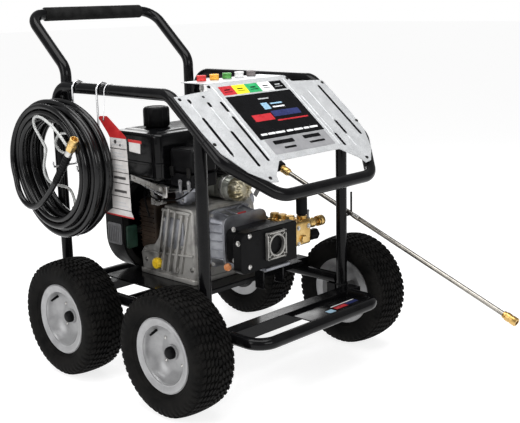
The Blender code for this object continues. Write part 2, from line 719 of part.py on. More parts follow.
def pump_head():
    """The brass manifold with its valve caps, outlet and inlet, and the parts on them."""
    left, right = HEAD_X
    manifold = block((left, -0.240, 0.348), (right, -0.126, 0.418))
    body = bevelled(piece("pump_head", manifold, "brass"), 0.004)
    inner = right - 0.010
    shapes = [rod((VALVE_X, y, 0.410), (VALVE_X, y, 0.433), 0.012, 6) for y in VALVE_CAP_Y]
    shapes.append(rod((UNLOADER_X, OUTLET_Y, 0.410), (UNLOADER_X, OUTLET_Y, UNLOADER_Z), 0.010))
    shapes.append(rod((inner, OUTLET_Y, OUTLET_Z), (0.226, OUTLET_Y, OUTLET_Z), PORT_R))
    shapes.append(rod((inner, OUTLET_Y, INLET_Z), (0.186, OUTLET_Y, INLET_Z), PORT_R))
    join(body, *[piece("extra", shape, "brass") for shape in shapes])
    knob = [(0, 0), (0.013, 0), (0.016, 0.005), (0.016, 0.075), (0.013, 0.080), (0, 0.080)]
    at = (UNLOADER_X, OUTLET_Y, UNLOADER_Z + GAP)
    piece("unloader_knob", turned(knob, (0, 0, 1), 16), "black_plastic", at)
    sleeve = PORT_R + GAP
    ring = [(sleeve, 0), (0.0150, 0), (0.0150, 0.024), (sleeve, 0.024)]
    shape = turned(ring, (1, 0, 0), 14, closed=True)
    piece("outlet_collar", shape, "brass", (0.199, OUTLET_Y, OUTLET_Z))
    swivel = [(sleeve, 0), (0.0165, 0), (0.0165, 0.030), (0.0125, 0.034), (sleeve, 0.034)]
    shape = turned(swivel, (1, 0, 0), 14, closed=True)
    piece("inlet_swivel", shape, "black_plastic", (0.160, OUTLET_Y, INLET_Z))


# ---------------------------------------------------------------- spray gun and lance


def spray_gun():
    """The gun, its trigger, the lance and its tip collar, in a frame turned to the lance's slope."""
    at = (LANCE_X, *LANCE_START)
    outline = [
        (GAP, -0.0125), (GAP, 0.0125), (0.020, 0.015), (0.150, 0.016), (0.205, 0.020),
        (0.222, 0.008), (0.218, -0.020), (0.250, -0.122), (0.214, -0.132), (0.180, -0.024),
        (0.165, -0.0145), (0.020, -0.015),
    ]
    half = 0.0165
    gun = piece("gun_body", prism(outline, "X", -half, half), "black_plastic", at, LANCE_TILT)
    bevelled(gun, 0.005)
    lever_outline = [
        (-0.006, -0.001), (0.006, -0.001), (0.010, -0.028), (0.020, -0.062), (0.012, -0.064),
        (0.001, -0.030),
    ]
    pivot = Vector((0, 0.135, -0.0155))
    pivot.rotate(Matrix.Rotation(LANCE_TILT, 3, "X"))
    trigger_at = Vector(at) + pivot
    blade = prism(lever_outline, "X", -0.006, 0.006)
    piece("trigger", blade, "red_plastic", trigger_at, LANCE_TILT)
    section = [
        (0.0045, 0), (0.0115, 0), (0.0115, 0.030), (LANCE_R, 0.036),
        (LANCE_R, LANCE_LENGTH - 0.008), (0.0045, LANCE_LENGTH - 0.008),
    ]
    lance = turned(section, (0, -1, 0), 12, closed=True)
    piece("lance_tube", lance, "steel", at, LANCE_TILT)
    collar = [
        (LANCE_R + GAP, LANCE_LENGTH - 0.042), (0.0100, LANCE_LENGTH - 0.042),
        (0.0120, LANCE_LENGTH - 0.034), (0.0120, LANCE_LENGTH), (LANCE_R + GAP, LANCE_LENGTH),
    ]
    piece("tip_collar", turned(collar, (0, -1, 0), 12, closed=True), "brass", at, LANCE_TILT)


def gun_holster():
    """A strap that hangs from the right top tube and carries the gun in its hooked end."""
    inner, outer = 0.2775, 0.3195
    thick = 0.003
    low = 0.5250
    under_tube = TOP_Z - TUBE_R - 0.0005
    outline = [
        (inner, under_tube), (inner, low), (outer + thick, low), (outer + thick, 0.562),
        (outer, 0.562), (outer, low + thick), (inner + thick, low + thick),
        (inner + thick, under_tube),
    ]
    piece("gun_holster", prism(outline, "Y", 0.085, 0.115), "black_frame")


# ---------------------------------------------------------------- hose


def hose_hanger():
    """Two wires hooked over the left top tube to carry the coil, and a wire between them."""
    over = TUBE_R + HANGER_R + 0.001
    down_x = -CAGE_X - over
    wires = []
    for name, y in zip(("hose_hanger", "wire"), HANGER_Y):
        bow = arc((-CAGE_X, TOP_Z), over, -30, 180, 12)
        corners = [
            (down_x, y, TOP_Z - 0.001), (down_x, y, HANGER_ARM_Z),
            (HANGER_ARM_X, y, HANGER_ARM_Z), (HANGER_ARM_X, y, HANGER_ARM_Z + 0.012),
        ]
        path = [(x, y, z) for x, z in bow] + bent(corners, 0.006, math.radians(30))
        wires.append(piece(name, pipe(path, HANGER_R, 8), "steel"))
    front, back = HANGER_Y
    cross = rod((down_x, front, 0.640), (down_x, back, 0.640), HANGER_R * 0.9, 8)
    join(*wires, piece("cross", cross, "steel"))


def hose():
    """The coiled high-pressure hose, its loose end and that end's fitting."""
    chamfer = 0.014
    near, far = COIL_X
    width = far - near
    inner, outer = COIL_INNER_R, COIL_OUTER_R
    section = [
        (inner + chamfer, 0), (outer - chamfer, 0), (outer, chamfer), (outer, width - chamfer),
        (outer - chamfer, width), (inner + chamfer, width), (inner, width - chamfer),
        (inner, chamfer),
    ]
    coil = turned(section, (1, 0, 0), 26, closed=True)
    piece("hose_coil", coil, "hose_rubber", (near, *COIL_CENTRE))
    piece("hose_lead", pipe(smooth_path(LEAD_ROUTE, 16), HOSE_R, 10), "hose_rubber")
    start = Vector(LEAD_ROUTE[0])
    way = (start - Vector(LEAD_ROUTE[1])).normalized()
    section = [
        (0, GAP), (0.0105, GAP), (0.0105, 0.018), (0.0135, 0.020), (0.0135, 0.044),
        (0.0115, 0.046), (0.0115, 0.062), (0, 0.062),
    ]
    piece("hose_fitting", turned(section, way, 12), "brass", start)


def siphon():
    """The thin detergent tube tucked into the coil, with its strainer."""
    piece("siphon_tube", pipe(smooth_path(SIPHON_ROUTE, 60), SIPHON_R, 8), "clear_vinyl")
    x, y, z = SIPHON_ROUTE[0]
    section = [(0, 0), (0.0070, 0), (0.0070, -0.022), (0.0055, -0.034), (0, -0.034)]
    piece("siphon_strainer", turned(section, (0, 0, 1), 10), "grey_plastic", (x, y, z - GAP))


# ---------------------------------------------------------------- the whole machine


def build():
    clear_scene()
    machine = bpy.data.objects.new("machine", None)
    machine.location = (0, ORIGIN_SHIFT_Y, 0)
    bpy.context.scene.collection.objects.link(machine)
    for side, name in ((-1, "left"), (1, "right")):
        cage_tube(side, f"cage_tube_{name}")
        for y, end in ((-HALF_WHEELBASE, "front"), (HALF_WHEELBASE, "rear")):
            wheel(f"{end}_{name}", side, y)
    front_tube()
    front_post(-1, "front_post_left")
    join(front_post(1, "front_post_right"), lance_hook())
    base_frame()
    front_bumper()
    axle("front_axle", -HALF_WHEELBASE, (-0.2302, -0.200))
    axle("rear_axle", HALF_WHEELBASE, (0.200, 0.236))
    engine_plate()
    handle()
    control_panel()
    nozzles()
    crankcase()
    cylinder()
    crankshaft()
    fan_housing()
    recoil_handle()
    fuel_tank()
    intake_and_exhaust()
    small_controls()
    bell_housing()
    pump()
    pump_head()
    spray_gun()
    gun_holster()
    hose_hanger()
    hose()
    siphon()


build()
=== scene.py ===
import math

import bmesh
import bpy
import numpy as np
from mathutils import Matrix, Vector


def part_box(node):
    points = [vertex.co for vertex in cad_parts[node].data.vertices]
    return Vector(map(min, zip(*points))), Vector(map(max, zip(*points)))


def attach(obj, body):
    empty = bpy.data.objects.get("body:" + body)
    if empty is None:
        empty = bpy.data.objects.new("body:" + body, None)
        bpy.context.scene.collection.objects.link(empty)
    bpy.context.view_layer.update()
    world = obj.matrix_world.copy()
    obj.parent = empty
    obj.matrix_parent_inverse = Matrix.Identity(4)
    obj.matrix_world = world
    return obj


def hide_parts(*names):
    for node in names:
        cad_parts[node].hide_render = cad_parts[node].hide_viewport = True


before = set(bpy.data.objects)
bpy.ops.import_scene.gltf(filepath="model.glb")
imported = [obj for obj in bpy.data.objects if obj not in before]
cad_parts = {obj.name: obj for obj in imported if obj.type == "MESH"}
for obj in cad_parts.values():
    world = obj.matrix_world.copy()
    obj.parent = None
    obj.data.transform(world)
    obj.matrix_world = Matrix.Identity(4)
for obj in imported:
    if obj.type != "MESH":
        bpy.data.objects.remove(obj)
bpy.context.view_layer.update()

# Sizes below are in metres in the machine's own place: the middle of the four wheels is at y = 0.
wheelBoxes = [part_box("rim_front_left"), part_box("rim_rear_left")]
shiftY = sum(low[1] + high[1] for low, high in wheelBoxes) / 4

slopeSet = {"start": (-0.1372, 0.801), "angle": math.radians(39.2)}


def unit(v):
    # The vector divided by its length.
    v = np.asarray(v, float)
    return v / np.linalg.norm(v)


def slopePoint(x, down, lift):
    # A place on the sloped panel: x, the way down the slope, and the height above the tubes' middle plane.
    y, z = slopeSet["start"]
    c, s = math.cos(slopeSet["angle"]), math.sin(slopeSet["angle"])
    return np.array([x, y - down * c - lift * s, z - down * s + lift * c])


cameraSet = {"place": (-1.83097, -1.96481, 1.03243), "aim": (0.69901, 0.68079, -0.21889), "roll": -0.0243,
             "lens": 65.8}


def makeCamera(settings):
    # Axes from the aim: across = aim x up, then both turned by the roll angle.
    aim = unit(settings["aim"])
    right = unit(np.cross(aim, (0, 0, 1)))
    up = np.cross(right, aim)
    c, s = math.cos(settings["roll"]), math.sin(settings["roll"])
    across, upright = c * right + s * up, c * up - s * right
    data = bpy.data.cameras.new("camera")
    data.lens = settings["lens"]
    camera = bpy.data.objects.new("camera", data)
    turn = Matrix((across, upright, -aim)).transposed().to_4x4()
    place = np.array(settings["place"]) + (0, shiftY, 0)
    camera.matrix_world = Matrix.Translation(place) @ turn
    bpy.context.scene.collection.objects.link(camera)
    bpy.context.scene.camera = camera


def areaLight(name, place, target, size, power, colour=(1, 1, 1)):
    # A soft rectangle whose minus z points from its place at the target.
    data = bpy.data.lights.new(name, "AREA")
    data.shape = "RECTANGLE"
    data.size, data.size_y = size
    data.energy = power
    data.color = colour
    light = bpy.data.objects.new(name, data)
    light.location = place
    light.rotation_euler = (Vector(target) - Vector(place)).to_track_quat("-Z", "Y").to_euler()
    bpy.context.scene.collection.objects.link(light)


studioSet = {"fill": 0.34, "middle": (0, 0, 0.45), "lights": {
    "softTop": ((-0.4, -0.2, 2.6), (2.4, 1.6), 62), "softLeft": ((-2.6, 0.3, 1.5), (1.4, 1.6), 26),
    "softFront": ((-0.6, -3.0, 1.6), (1.8, 1.0), 26), "softRear": ((1.8, 2.4, 1.9), (1.6, 1.2), 22)}}


def makeStudio(s):
    # A white world seen by the camera, softer as light, and four soft boxes around the machine.
    world = bpy.data.worlds.new("studio")
    world.use_nodes = True
    shade = world.node_tree.nodes["Background"]
    shade.inputs["Color"].default_value = (1, 1, 1, 1)
    # The backdrop shows white, while its light on the machine is softer, so that the black parts stay deep.
    seen = world.node_tree.nodes.new("ShaderNodeLightPath")
    strength = world.node_tree.nodes.new("ShaderNodeMapRange")
    strength.inputs["To Min"].default_value, strength.inputs["To Max"].default_value = s["fill"], 1.0
    world.node_tree.links.new(seen.outputs["Is Camera Ray"], strength.inputs["Value"])
    world.node_tree.links.new(strength.outputs["Result"], shade.inputs["Strength"])
    bpy.context.scene.world = world
    bpy.context.scene.view_settings.view_transform = "Standard"
    for name, (place, size, power) in s["lights"].items():
        areaLight(name, place, s["middle"], size, power)


makeCamera(cameraSet)
makeStudio(studioSet)
print("stage: camera and light")


def newGroup(name, inputs, outputs):
    # A node group with its sockets: inputs are (label, kind, value), outputs are floats.
    tree = bpy.data.node_groups.new(name, "ShaderNodeTree")
    for label, kind, value in inputs:
        socket = tree.interface.new_socket(name=label, in_out="INPUT", socket_type=kind)
        if value is not None:
            socket.default_value = value
    for label in outputs:
        tree.interface.new_socket(name=label, in_out="OUTPUT", socket_type="NodeSocketFloat")
    return tree, tree.nodes.new("NodeGroupInput"), tree.nodes.new("NodeGroupOutput")


def makeMottle():
    # Soft patches: low-frequency noise stretched between two thresholds, so 0 is one tone and 1 the other.
    tree, come, go = newGroup("surfaceMottle", [("Vector", "NodeSocketVector", None),
                                                ("Scale", "NodeSocketFloat", 12.0),
                                                ("From", "NodeSocketFloat", 0.35), ("To", "NodeSocketFloat", 0.65)],
                                                ["Mask"])
    noise = tree.nodes.new("ShaderNodeTexNoise")
    noise.inputs["Detail"].default_value = 5.0
    noise.inputs["Roughness"].default_value = 0.6
    spread = tree.nodes.new("ShaderNodeMapRange")
    tree.links.new(come.outputs["Vector"], noise.inputs["Vector"])
    tree.links.new(come.outputs["Scale"], noise.inputs["Scale"])
    tree.links.new(noise.outputs["Fac"], spread.inputs["Value"])
    tree.links.new(come.outputs["From"], spread.inputs["From Min"])
    tree.links.new(come.outputs["To"], spread.inputs["From Max"])
    tree.links.new(spread.outputs["Result"], go.inputs["Mask"])
    return tree


def makeGrain():
    # A grainy surface: fine noise and rounder cells added together as a height.
    tree, come, go = newGroup("surfaceGrain", [("Vector", "NodeSocketVector", None),
                                               ("Scale", "NodeSocketFloat", 400.0),
                                               ("Cells", "NodeSocketFloat", 0.5)], ["Height"])
    noise = tree.nodes.new("ShaderNodeTexNoise")
    noise.inputs["Detail"].default_value = 3.0
    cells = tree.nodes.new("ShaderNodeTexVoronoi")
    mix = tree.nodes.new("ShaderNodeMix")
    for node in (noise, cells):
        tree.links.new(come.outputs["Vector"], node.inputs["Vector"])
        tree.links.new(come.outputs["Scale"], node.inputs["Scale"])
    tree.links.new(come.outputs["Cells"], mix.inputs[0])
    tree.links.new(noise.outputs["Fac"], mix.inputs[2])
    tree.links.new(cells.outputs["Distance"], mix.inputs[3])
    tree.links.new(mix.outputs[0], go.inputs["Height"])
    return tree


def makeSpeckle():
    # Small dots scattered over the surface: near a cell's centre the mask is 1.
    tree, come, go = newGroup("surfaceSpeckle", [("Vector", "NodeSocketVector", None),
                                                 ("Scale", "NodeSocketFloat", 500.0),
                                                 ("Size", "NodeSocketFloat", 0.25)], ["Mask"])
    cells = tree.nodes.new("ShaderNodeTexVoronoi")
    spread = tree.nodes.new("ShaderNodeMapRange")
    tree.links.new(come.outputs["Vector"], cells.inputs["Vector"])
    tree.links.new(come.outputs["Scale"], cells.inputs["Scale"])
    tree.links.new(cells.outputs["Distance"], spread.inputs["Value"])
    spread.inputs["From Min"].default_value = 0.0
    tree.links.new(come.outputs["Size"], spread.inputs["From Max"])
    spread.inputs["To Min"].default_value = 1.0
    spread.inputs["To Max"].default_value = 0.0
    tree.links.new(spread.outputs["Result"], go.inputs["Mask"])
    return tree


mottleGroup, grainGroup, speckleGroup = makeMottle(), makeGrain(), makeSpeckle()

labelLook = {"rough": (0.25, 0.33), "grain": (900, 0.01)}
guardLook = {"rough": (0.32, 0.44), "grain": (700, 0.05)}

# Each finish: two tones that the mottle mixes, roughness from low to high, and how deep its grain is.
finishes = {
    "powderBlack": {"tones": ((0.0025, 0.0025, 0.003), (0.005, 0.005, 0.0055)), "rough": (0.12, 0.2),
                    "grain": (700, 0.02), "coat": 0.05, "shine": 0.12},
    "gripFoam": {"tones": ((0.006, 0.006, 0.006), (0.016, 0.016, 0.016)), "rough": (0.8, 0.95), "grain": (900, 0.5),
                 "shine": 0.08},
    "panelSilver": {"tones": ((0.5, 0.51, 0.52), (0.6, 0.61, 0.62)), "rough": (0.3, 0.42), "metal": 0.25,
                    "grain": (900, 0.08), "dots": (430, 0.46, (0.24, 0.25, 0.26))},
    "tyreRubber": {"tones": ((0.003, 0.003, 0.003), (0.01, 0.0095, 0.009)), "rough": (0.62, 0.82),
                   "grain": (600, 0.25), "mottle": 25, "shine": 0.05},
    "rimPaint": {"tones": ((0.29, 0.29, 0.295), (0.38, 0.38, 0.385)), "rough": (0.32, 0.45), "metal": 0.35,
                 "grain": (500, 0.05)},
    "brightSteel": {"tones": ((0.5, 0.49, 0.47), (0.68, 0.67, 0.65)), "rough": (0.22, 0.4), "metal": 1.0,
                    "grain": (300, 0.04)},
    "chromedWire": {"tones": ((0.7, 0.7, 0.71), (0.85, 0.85, 0.86)), "rough": (0.1, 0.22), "metal": 1.0,
                    "grain": (200, 0.02)},
    "lanceSteel": {"tones": ((0.2, 0.19, 0.17), (0.34, 0.32, 0.29)), "rough": (0.24, 0.36), "metal": 1.0,
                   "grain": (250, 0.03)},
    "castAluminium": {"tones": ((0.13, 0.125, 0.118), (0.46, 0.45, 0.43)), "rough": (0.38, 0.62), "metal": 0.85,
                      "grain": (260, 0.35), "mottle": 14, "spread": (0.28, 0.52), "cells": 0.35},
    "smoothAluminium": {"tones": ((0.2, 0.205, 0.23), (0.42, 0.43, 0.46)), "rough": (0.3, 0.45), "metal": 0.85,
                        "grain": (220, 0.15), "mottle": 18},
    "finBlack": {"tones": ((0.004, 0.004, 0.004), (0.014, 0.0135, 0.013)), "rough": (0.45, 0.65), "metal": 0.3,
                 "grain": (260, 0.2), "shine": 0.2},
    "pumpPaint": {"tones": ((0.0022, 0.0022, 0.0026), (0.006, 0.006, 0.0065)), "rough": (0.26, 0.42),
                  "grain": (320, 0.18), "coat": 0.02, "shine": 0.06},
    "forgedBrass": {"tones": ((0.42, 0.25, 0.07), (0.78, 0.55, 0.23)), "rough": (0.24, 0.42), "metal": 1.0,
                    "grain": (280, 0.12), "mottle": 22},
    "mufflerSkin": {"tones": ((0.23, 0.24, 0.21), (0.42, 0.42, 0.38)), "rough": (0.35, 0.55), "metal": 0.7,
                    "grain": (240, 0.12), "mottle": 16},
    "heatedSteel": {"tones": ((0.36, 0.3, 0.16), (0.62, 0.58, 0.46)), "rough": (0.28, 0.42), "metal": 0.9,
                    "grain": (240, 0.08), "mottle": 30},
    "mouldedBlack": {"tones": ((0.003, 0.003, 0.0035), (0.006, 0.006, 0.0065)), "rough": (0.32, 0.48),
                     "grain": (800, 0.12), "cells": 0.7, "shine": 0.07},
    "tankBlack": {"tones": ((0.002, 0.002, 0.0025), (0.004, 0.004, 0.0045)), "rough": (0.1, 0.2),
                  "grain": (900, 0.03), "coat": 0.08, "shine": 0.16},
    "shroudGreen": {"tones": ((0.004, 0.02, 0.012), (0.01, 0.048, 0.03)), "rough": (0.35, 0.5),
                    "grain": (500, 0.1)},
    # Dark brown painted shade for the recess behind the crankcase.
    "recessShadeBrown": {"tones": ((0.018, 0.012, 0.009), (0.06, 0.04, 0.028)), "rough": (0.5, 0.7), "grain": (300, 0.2),
                  "mottle": 20, "shine": 0.25},
    "knobYellow": {"tones": ((0.78, 0.5, 0.015), (0.86, 0.6, 0.03)), "rough": (0.34, 0.46), "grain": (600, 0.05)},
    "plugOrange": {"tones": ((0.7, 0.22, 0.07), (0.85, 0.36, 0.15)), "rough": (0.3, 0.42), "grain": (400, 0.05)},
    "guardRed": {"tones": ((0.5, 0.012, 0.012), (0.62, 0.025, 0.022)), **guardLook},
    "guardOrange": {"tones": ((0.78, 0.34, 0.02), (0.88, 0.46, 0.05)), **guardLook},
    "guardGreen": {"tones": ((0.05, 0.26, 0.04), (0.1, 0.36, 0.08)), **guardLook},
    "guardWhite": {"tones": ((0.74, 0.74, 0.74), (0.84, 0.84, 0.84)), **guardLook},
    "guardGrey": {"tones": ((0.14, 0.12, 0.12), (0.22, 0.2, 0.2)), "rough": (0.36, 0.48), "grain": (700, 0.05)},
    "leverGrey": {"tones": ((0.12, 0.12, 0.125), (0.2, 0.2, 0.21)), "rough": (0.36, 0.48), "grain": (700, 0.06)},
    # Black for the printed labels, also used as painted shade inside the panel's open slots.
    "printBlackAndSlotShade": {"tones": ((0.0025, 0.0025, 0.003), (0.004, 0.004, 0.005)), "rough": (0.22, 0.3),
                   "grain": (900, 0.01), "coat": 0, "shine": 0.08},
    "labelGrey": {"tones": ((0.38, 0.39, 0.4), (0.46, 0.47, 0.48)), "rough": (0.28, 0.38), "grain": (900, 0.02)},
    "footGrey": {"tones": ((0.22, 0.22, 0.23), (0.3, 0.3, 0.31)), "rough": (0.28, 0.38), "grain": (900, 0.02)},
    "labelRed": {"tones": ((0.4, 0.01, 0.016), (0.5, 0.02, 0.03)), **labelLook},
    "labelYellow": {"tones": ((0.86, 0.72, 0.01), (0.93, 0.8, 0.03)), **labelLook},
    "labelGreen": {"tones": ((0.01, 0.3, 0.09), (0.03, 0.4, 0.14)), **labelLook},
    "labelWhite": {"tones": ((0.8, 0.8, 0.81), (0.87, 0.87, 0.88)), **labelLook},
    "labelBlue": {"tones": ((0.01, 0.016, 0.085), (0.018, 0.028, 0.13)), **labelLook},
    "labelSky": {"tones": ((0.22, 0.4, 0.55), (0.34, 0.52, 0.66)), **labelLook},
    "tagCard": {"tones": ((0.44, 0.42, 0.41), (0.56, 0.54, 0.53)), "rough": (0.55, 0.7), "grain": (700, 0.08)},
    "tagRed": {"tones": ((0.34, 0.008, 0.01), (0.44, 0.016, 0.016)), "rough": (0.4, 0.55), "grain": (700, 0.05)},
    "tagInk": {"tones": ((0.03, 0.028, 0.028), (0.07, 0.065, 0.065)), "rough": (0.5, 0.65), "grain": (700, 0.05)},
    "hoseCover": {"tones": ((0.002, 0.002, 0.0024), (0.006, 0.006, 0.0064)), "rough": (0.12, 0.26),
                  "grain": (500, 0.1), "coat": 0.12, "shine": 0.26},
    "clearVinyl": {"tones": ((0.55, 0.56, 0.55), (0.7, 0.71, 0.7)), "rough": (0.12, 0.2), "grain": (200, 0.02),
                   "pass": 0.35},
}
made = {}


def finishOf(name):
    # Builds the named finish once: tones and roughness follow the mottle, grain feeds the bump, dots lie on
    # top.
    if name in made:
        return made[name]
    look = finishes[name]
    material = bpy.data.materials.new(name)
    material.use_nodes = True
    nodes, links = material.node_tree.nodes, material.node_tree.links
    shader = nodes["Principled BSDF"]
    place = nodes.new("ShaderNodeTexCoord").outputs["Object"]
    mottle = nodes.new("ShaderNodeGroup")
    mottle.node_tree = mottleGroup
    mottle.inputs["Scale"].default_value = look.get("mottle", 30)
    mottle.inputs["From"].default_value, mottle.inputs["To"].default_value = look.get("spread", (0.35, 0.65))
    grain = nodes.new("ShaderNodeGroup")
    grain.node_tree = grainGroup
    grain.inputs["Scale"].default_value = look["grain"][0]
    grain.inputs["Cells"].default_value = look.get("cells", 0.2)
    links.new(place, mottle.inputs["Vector"])
    links.new(place, grain.inputs["Vector"])
    tones = nodes.new("ShaderNodeMix")
    tones.data_type = "RGBA"
    tones.inputs["A"].default_value = (*look["tones"][0], 1)
    tones.inputs["B"].default_value = (*look["tones"][1], 1)
    links.new(mottle.outputs["Mask"], tones.inputs["Factor"])
    colour = tones.outputs["Result"]
    if "dots" in look:
        dots = nodes.new("ShaderNodeGroup")
        dots.node_tree = speckleGroup
        dots.inputs["Scale"].default_value, dots.inputs["Size"].default_value = look["dots"][:2]
        links.new(place, dots.inputs["Vector"])
        over = nodes.new("ShaderNodeMix")
        over.data_type = "RGBA"
        over.inputs["B"].default_value = (*look["dots"][2], 1)
        links.new(dots.outputs["Mask"], over.inputs["Factor"])
        links.new(colour, over.inputs["A"])
        colour = over.outputs["Result"]
    links.new(colour, shader.inputs["Base Color"])
    rough = nodes.new("ShaderNodeMapRange")
    rough.inputs["To Min"].default_value, rough.inputs["To Max"].default_value = look["rough"]
    links.new(mottle.outputs["Mask"], rough.inputs["Value"])
    links.new(rough.outputs["Result"], shader.inputs["Roughness"])
    bump = nodes.new("ShaderNodeBump")
    bump.inputs["Strength"].default_value = look["grain"][1]
    bump.inputs["Distance"].default_value = 0.0006
    links.new(grain.outputs["Height"], bump.inputs["Height"])
    links.new(bump.outputs["Normal"], shader.inputs["Normal"])
    shader.inputs["Metallic"].default_value = look.get("metal", 0.0)
    shader.inputs["Coat Weight"].default_value = look.get("coat", 0.0)
    shader.inputs["Coat Roughness"].default_value = 0.12
    shader.inputs["Specular IOR Level"].default_value = look.get("shine", 0.5)
    shader.inputs["Transmission Weight"].default_value = look.get("pass", 0.0)
    made[name] = material
    return material


def gridFaces(rows, columns, wrapRows=False, wrapColumns=False):
    # Quads of a grid of rows x columns points, joined round where it wraps.
    r = np.arange(rows if wrapRows else rows - 1)
    c = np.arange(columns if wrapColumns else columns - 1)
    a, b = np.meshgrid(r, c, indexing="ij")
    a2, b2 = (a + 1) % rows, (b + 1) % columns
    return np.stack([a * columns + b, a * columns + b2, a2 * columns + b2, a2 * columns + b], -1).reshape(-1, 4)


def merged(*shapes):
    # Shapes joined into one: points stacked, and faces counted on from the points before.
    points, faces, start = [], [], 0
    for p, f in shapes:
        p = np.asarray(p, float).reshape(-1, 3)
        points.append(p)
        faces += [[i + start for i in face] for face in (f.tolist() if isinstance(f, np.ndarray) else f)]
        start += len(p)
    return np.concatenate(points), faces


def basis(axis):
    # Three unit vectors: two across the axis, then the axis.
    w = unit(axis)
    side = (0, 0, 1) if abs(w[2]) < 0.9 else (1, 0, 0)
    u = unit(np.cross(side, w))
    return u, np.cross(w, u), w


def lathe(profile, axis, centre, sides=48, closed=False, wave=None):
    # Profile (radius, along) carried round the axis: point = centre + r(cos a u + sin a v) + along w.
    u, v, w = basis(axis)
    profile = np.asarray(profile, float)
    a = np.arange(sides) * 2 * np.pi / sides
    r = profile[:, :1] * (1 if wave is None else wave(a)[None, :]) + 0 * a[None, :]
    ring = np.cos(a)[:, None] * u + np.sin(a)[:, None] * v
    points = np.asarray(centre, float) + r[..., None] * ring[None] + profile[:, 1][:, None, None] * w
    return points.reshape(-1, 3), gridFaces(len(profile), sides, closed, True)


def bentPath(corners, radius, step=8):
    # Straight runs between corners, each corner rounded by an arc of the radius, a point every few degrees.
    points = [np.asarray(c, float) for c in corners]
    path = [points[0]]
    for before, corner, after in zip(points, points[1:], points[2:]):
        back, on = unit(before - corner), unit(after - corner)
        turn = math.pi - math.acos(np.clip(back @ on, -1, 1))
        centre = corner + unit(back + on) * radius / math.cos(turn / 2)
        first = corner + back * radius * math.tan(turn / 2) - centre
        last = corner + on * radius * math.tan(turn / 2) - centre
        n = max(3, round(math.degrees(turn) / step))
        t = np.linspace(0, 1, n + 1)[:, None]
        path.extend(centre + (np.sin((1 - t) * turn) * first + np.sin(t * turn) * last) / math.sin(turn))
    return np.array(path + [points[-1]])


def smoothPath(route, count):
    # A Catmull-Rom curve through the route's points, evenly spaced in its parameter.
    p = np.asarray(route, float)
    p = np.vstack([2 * p[0] - p[1], p, 2 * p[-1] - p[-2]])
    at = np.minimum(np.linspace(0, len(route) - 1, count + 1), len(route) - 1 - 1e-9)
    i = at.astype(int)
    t = (at - i)[:, None]
    a, b, c, d = p[i], p[i + 1], p[i + 2], p[i + 3]
    return 0.5 * (2 * b + (c - a) * t + (2 * a - 5 * b + 4 * c - d) * t**2 + (3 * b - a - 3 * c + d) * t**3)


def sweep(path, radius, sides=24, capped=True):
    # A round section carried along the path with the least twist: point = path + r(cos a n + sin a b).
    path = np.asarray(path, float)
    tangent = np.gradient(path, axis=0)
    tangent /= np.linalg.norm(tangent, axis=1)[:, None]
    normals = [basis(tangent[0])[0]]
    for t in tangent[1:]:
        n = normals[-1] - t * (normals[-1] @ t)
        normals.append(n / np.linalg.norm(n))
    n = np.array(normals)
    b = np.cross(tangent, n)
    a = np.arange(sides) * 2 * np.pi / sides
    r = np.broadcast_to(np.asarray(radius, float), len(path))
    ring = np.cos(a)[None, :, None] * n[:, None] + np.sin(a)[None, :, None] * b[:, None]
    points = path[:, None] + r[:, None, None] * ring
    faces = gridFaces(len(path), sides, False, True).tolist()
    if capped:
        end = (len(path) - 1) * sides
        faces += [list(range(sides))[::-1], list(range(end, end + sides))]
    return points.reshape(-1, 3), faces


def extruded(outline, low, high, toPlace):
    # An outline of (a, b) pairs carried from low to high; toPlace turns (a, b, along) into a point.
    a, b = np.asarray(outline, float).T
    points = np.concatenate([np.stack(toPlace(a, b, np.full_like(a, h)), -1) for h in (low, high)])
    n = len(outline)
    faces = gridFaces(2, n, False, True).tolist() + [list(range(n))[::-1], list(range(n, 2 * n))]
    return points, faces


def alongX(a, b, c):
    # (a, b) become y and z, and the length runs along x.
    return c, a, b


def alongY(a, b, c):
    # (a, b) become x and z, and the length runs along y.
    return a, c, b


def alongZ(a, b, c):
    # (a, b) stay x and y, and the length runs up z.
    return a, b, c


def turnedAboutY(centre, angle, along=1):
    # (a, b) turned by the angle round a line along y: x = a cos q - b sin q, z = a sin q + b cos q.
    k, n = math.cos(angle), math.sin(angle)
    return lambda a, b, c: (centre[0] + a * k - b * n, centre[1] + along * c, centre[2] + a * n + b * k)


def onSlope(a, b, c):
    # (x, way down the slope, lift) as points.
    y, z = slopeSet["start"]
    cs, sn = math.cos(slopeSet["angle"]), math.sin(slopeSet["angle"])
    return a, y - b * cs - c * sn, z - b * sn + c * cs


def arcPoints(centre, radius, first, last, steps):
    # Points at centre + radius(cos a, sin a), with the angle in degrees.
    a = np.radians(np.linspace(first, last, steps + 1))
    return np.stack([centre[0] + radius * np.cos(a), centre[1] + radius * np.sin(a)], -1)


def roundedRectangle(x0, x1, y0, y1, r, steps=6):
    # Four quarter arcs of radius r about the corners moved in by r.
    return np.concatenate([arcPoints((x1 - r, y1 - r), r, 0, 90, steps),
                           arcPoints((x0 + r, y1 - r), r, 90, 180, steps),
                           arcPoints((x0 + r, y0 + r), r, 180, 270, steps),
                           arcPoints((x1 - r, y0 + r), r, 270, 360, steps)])


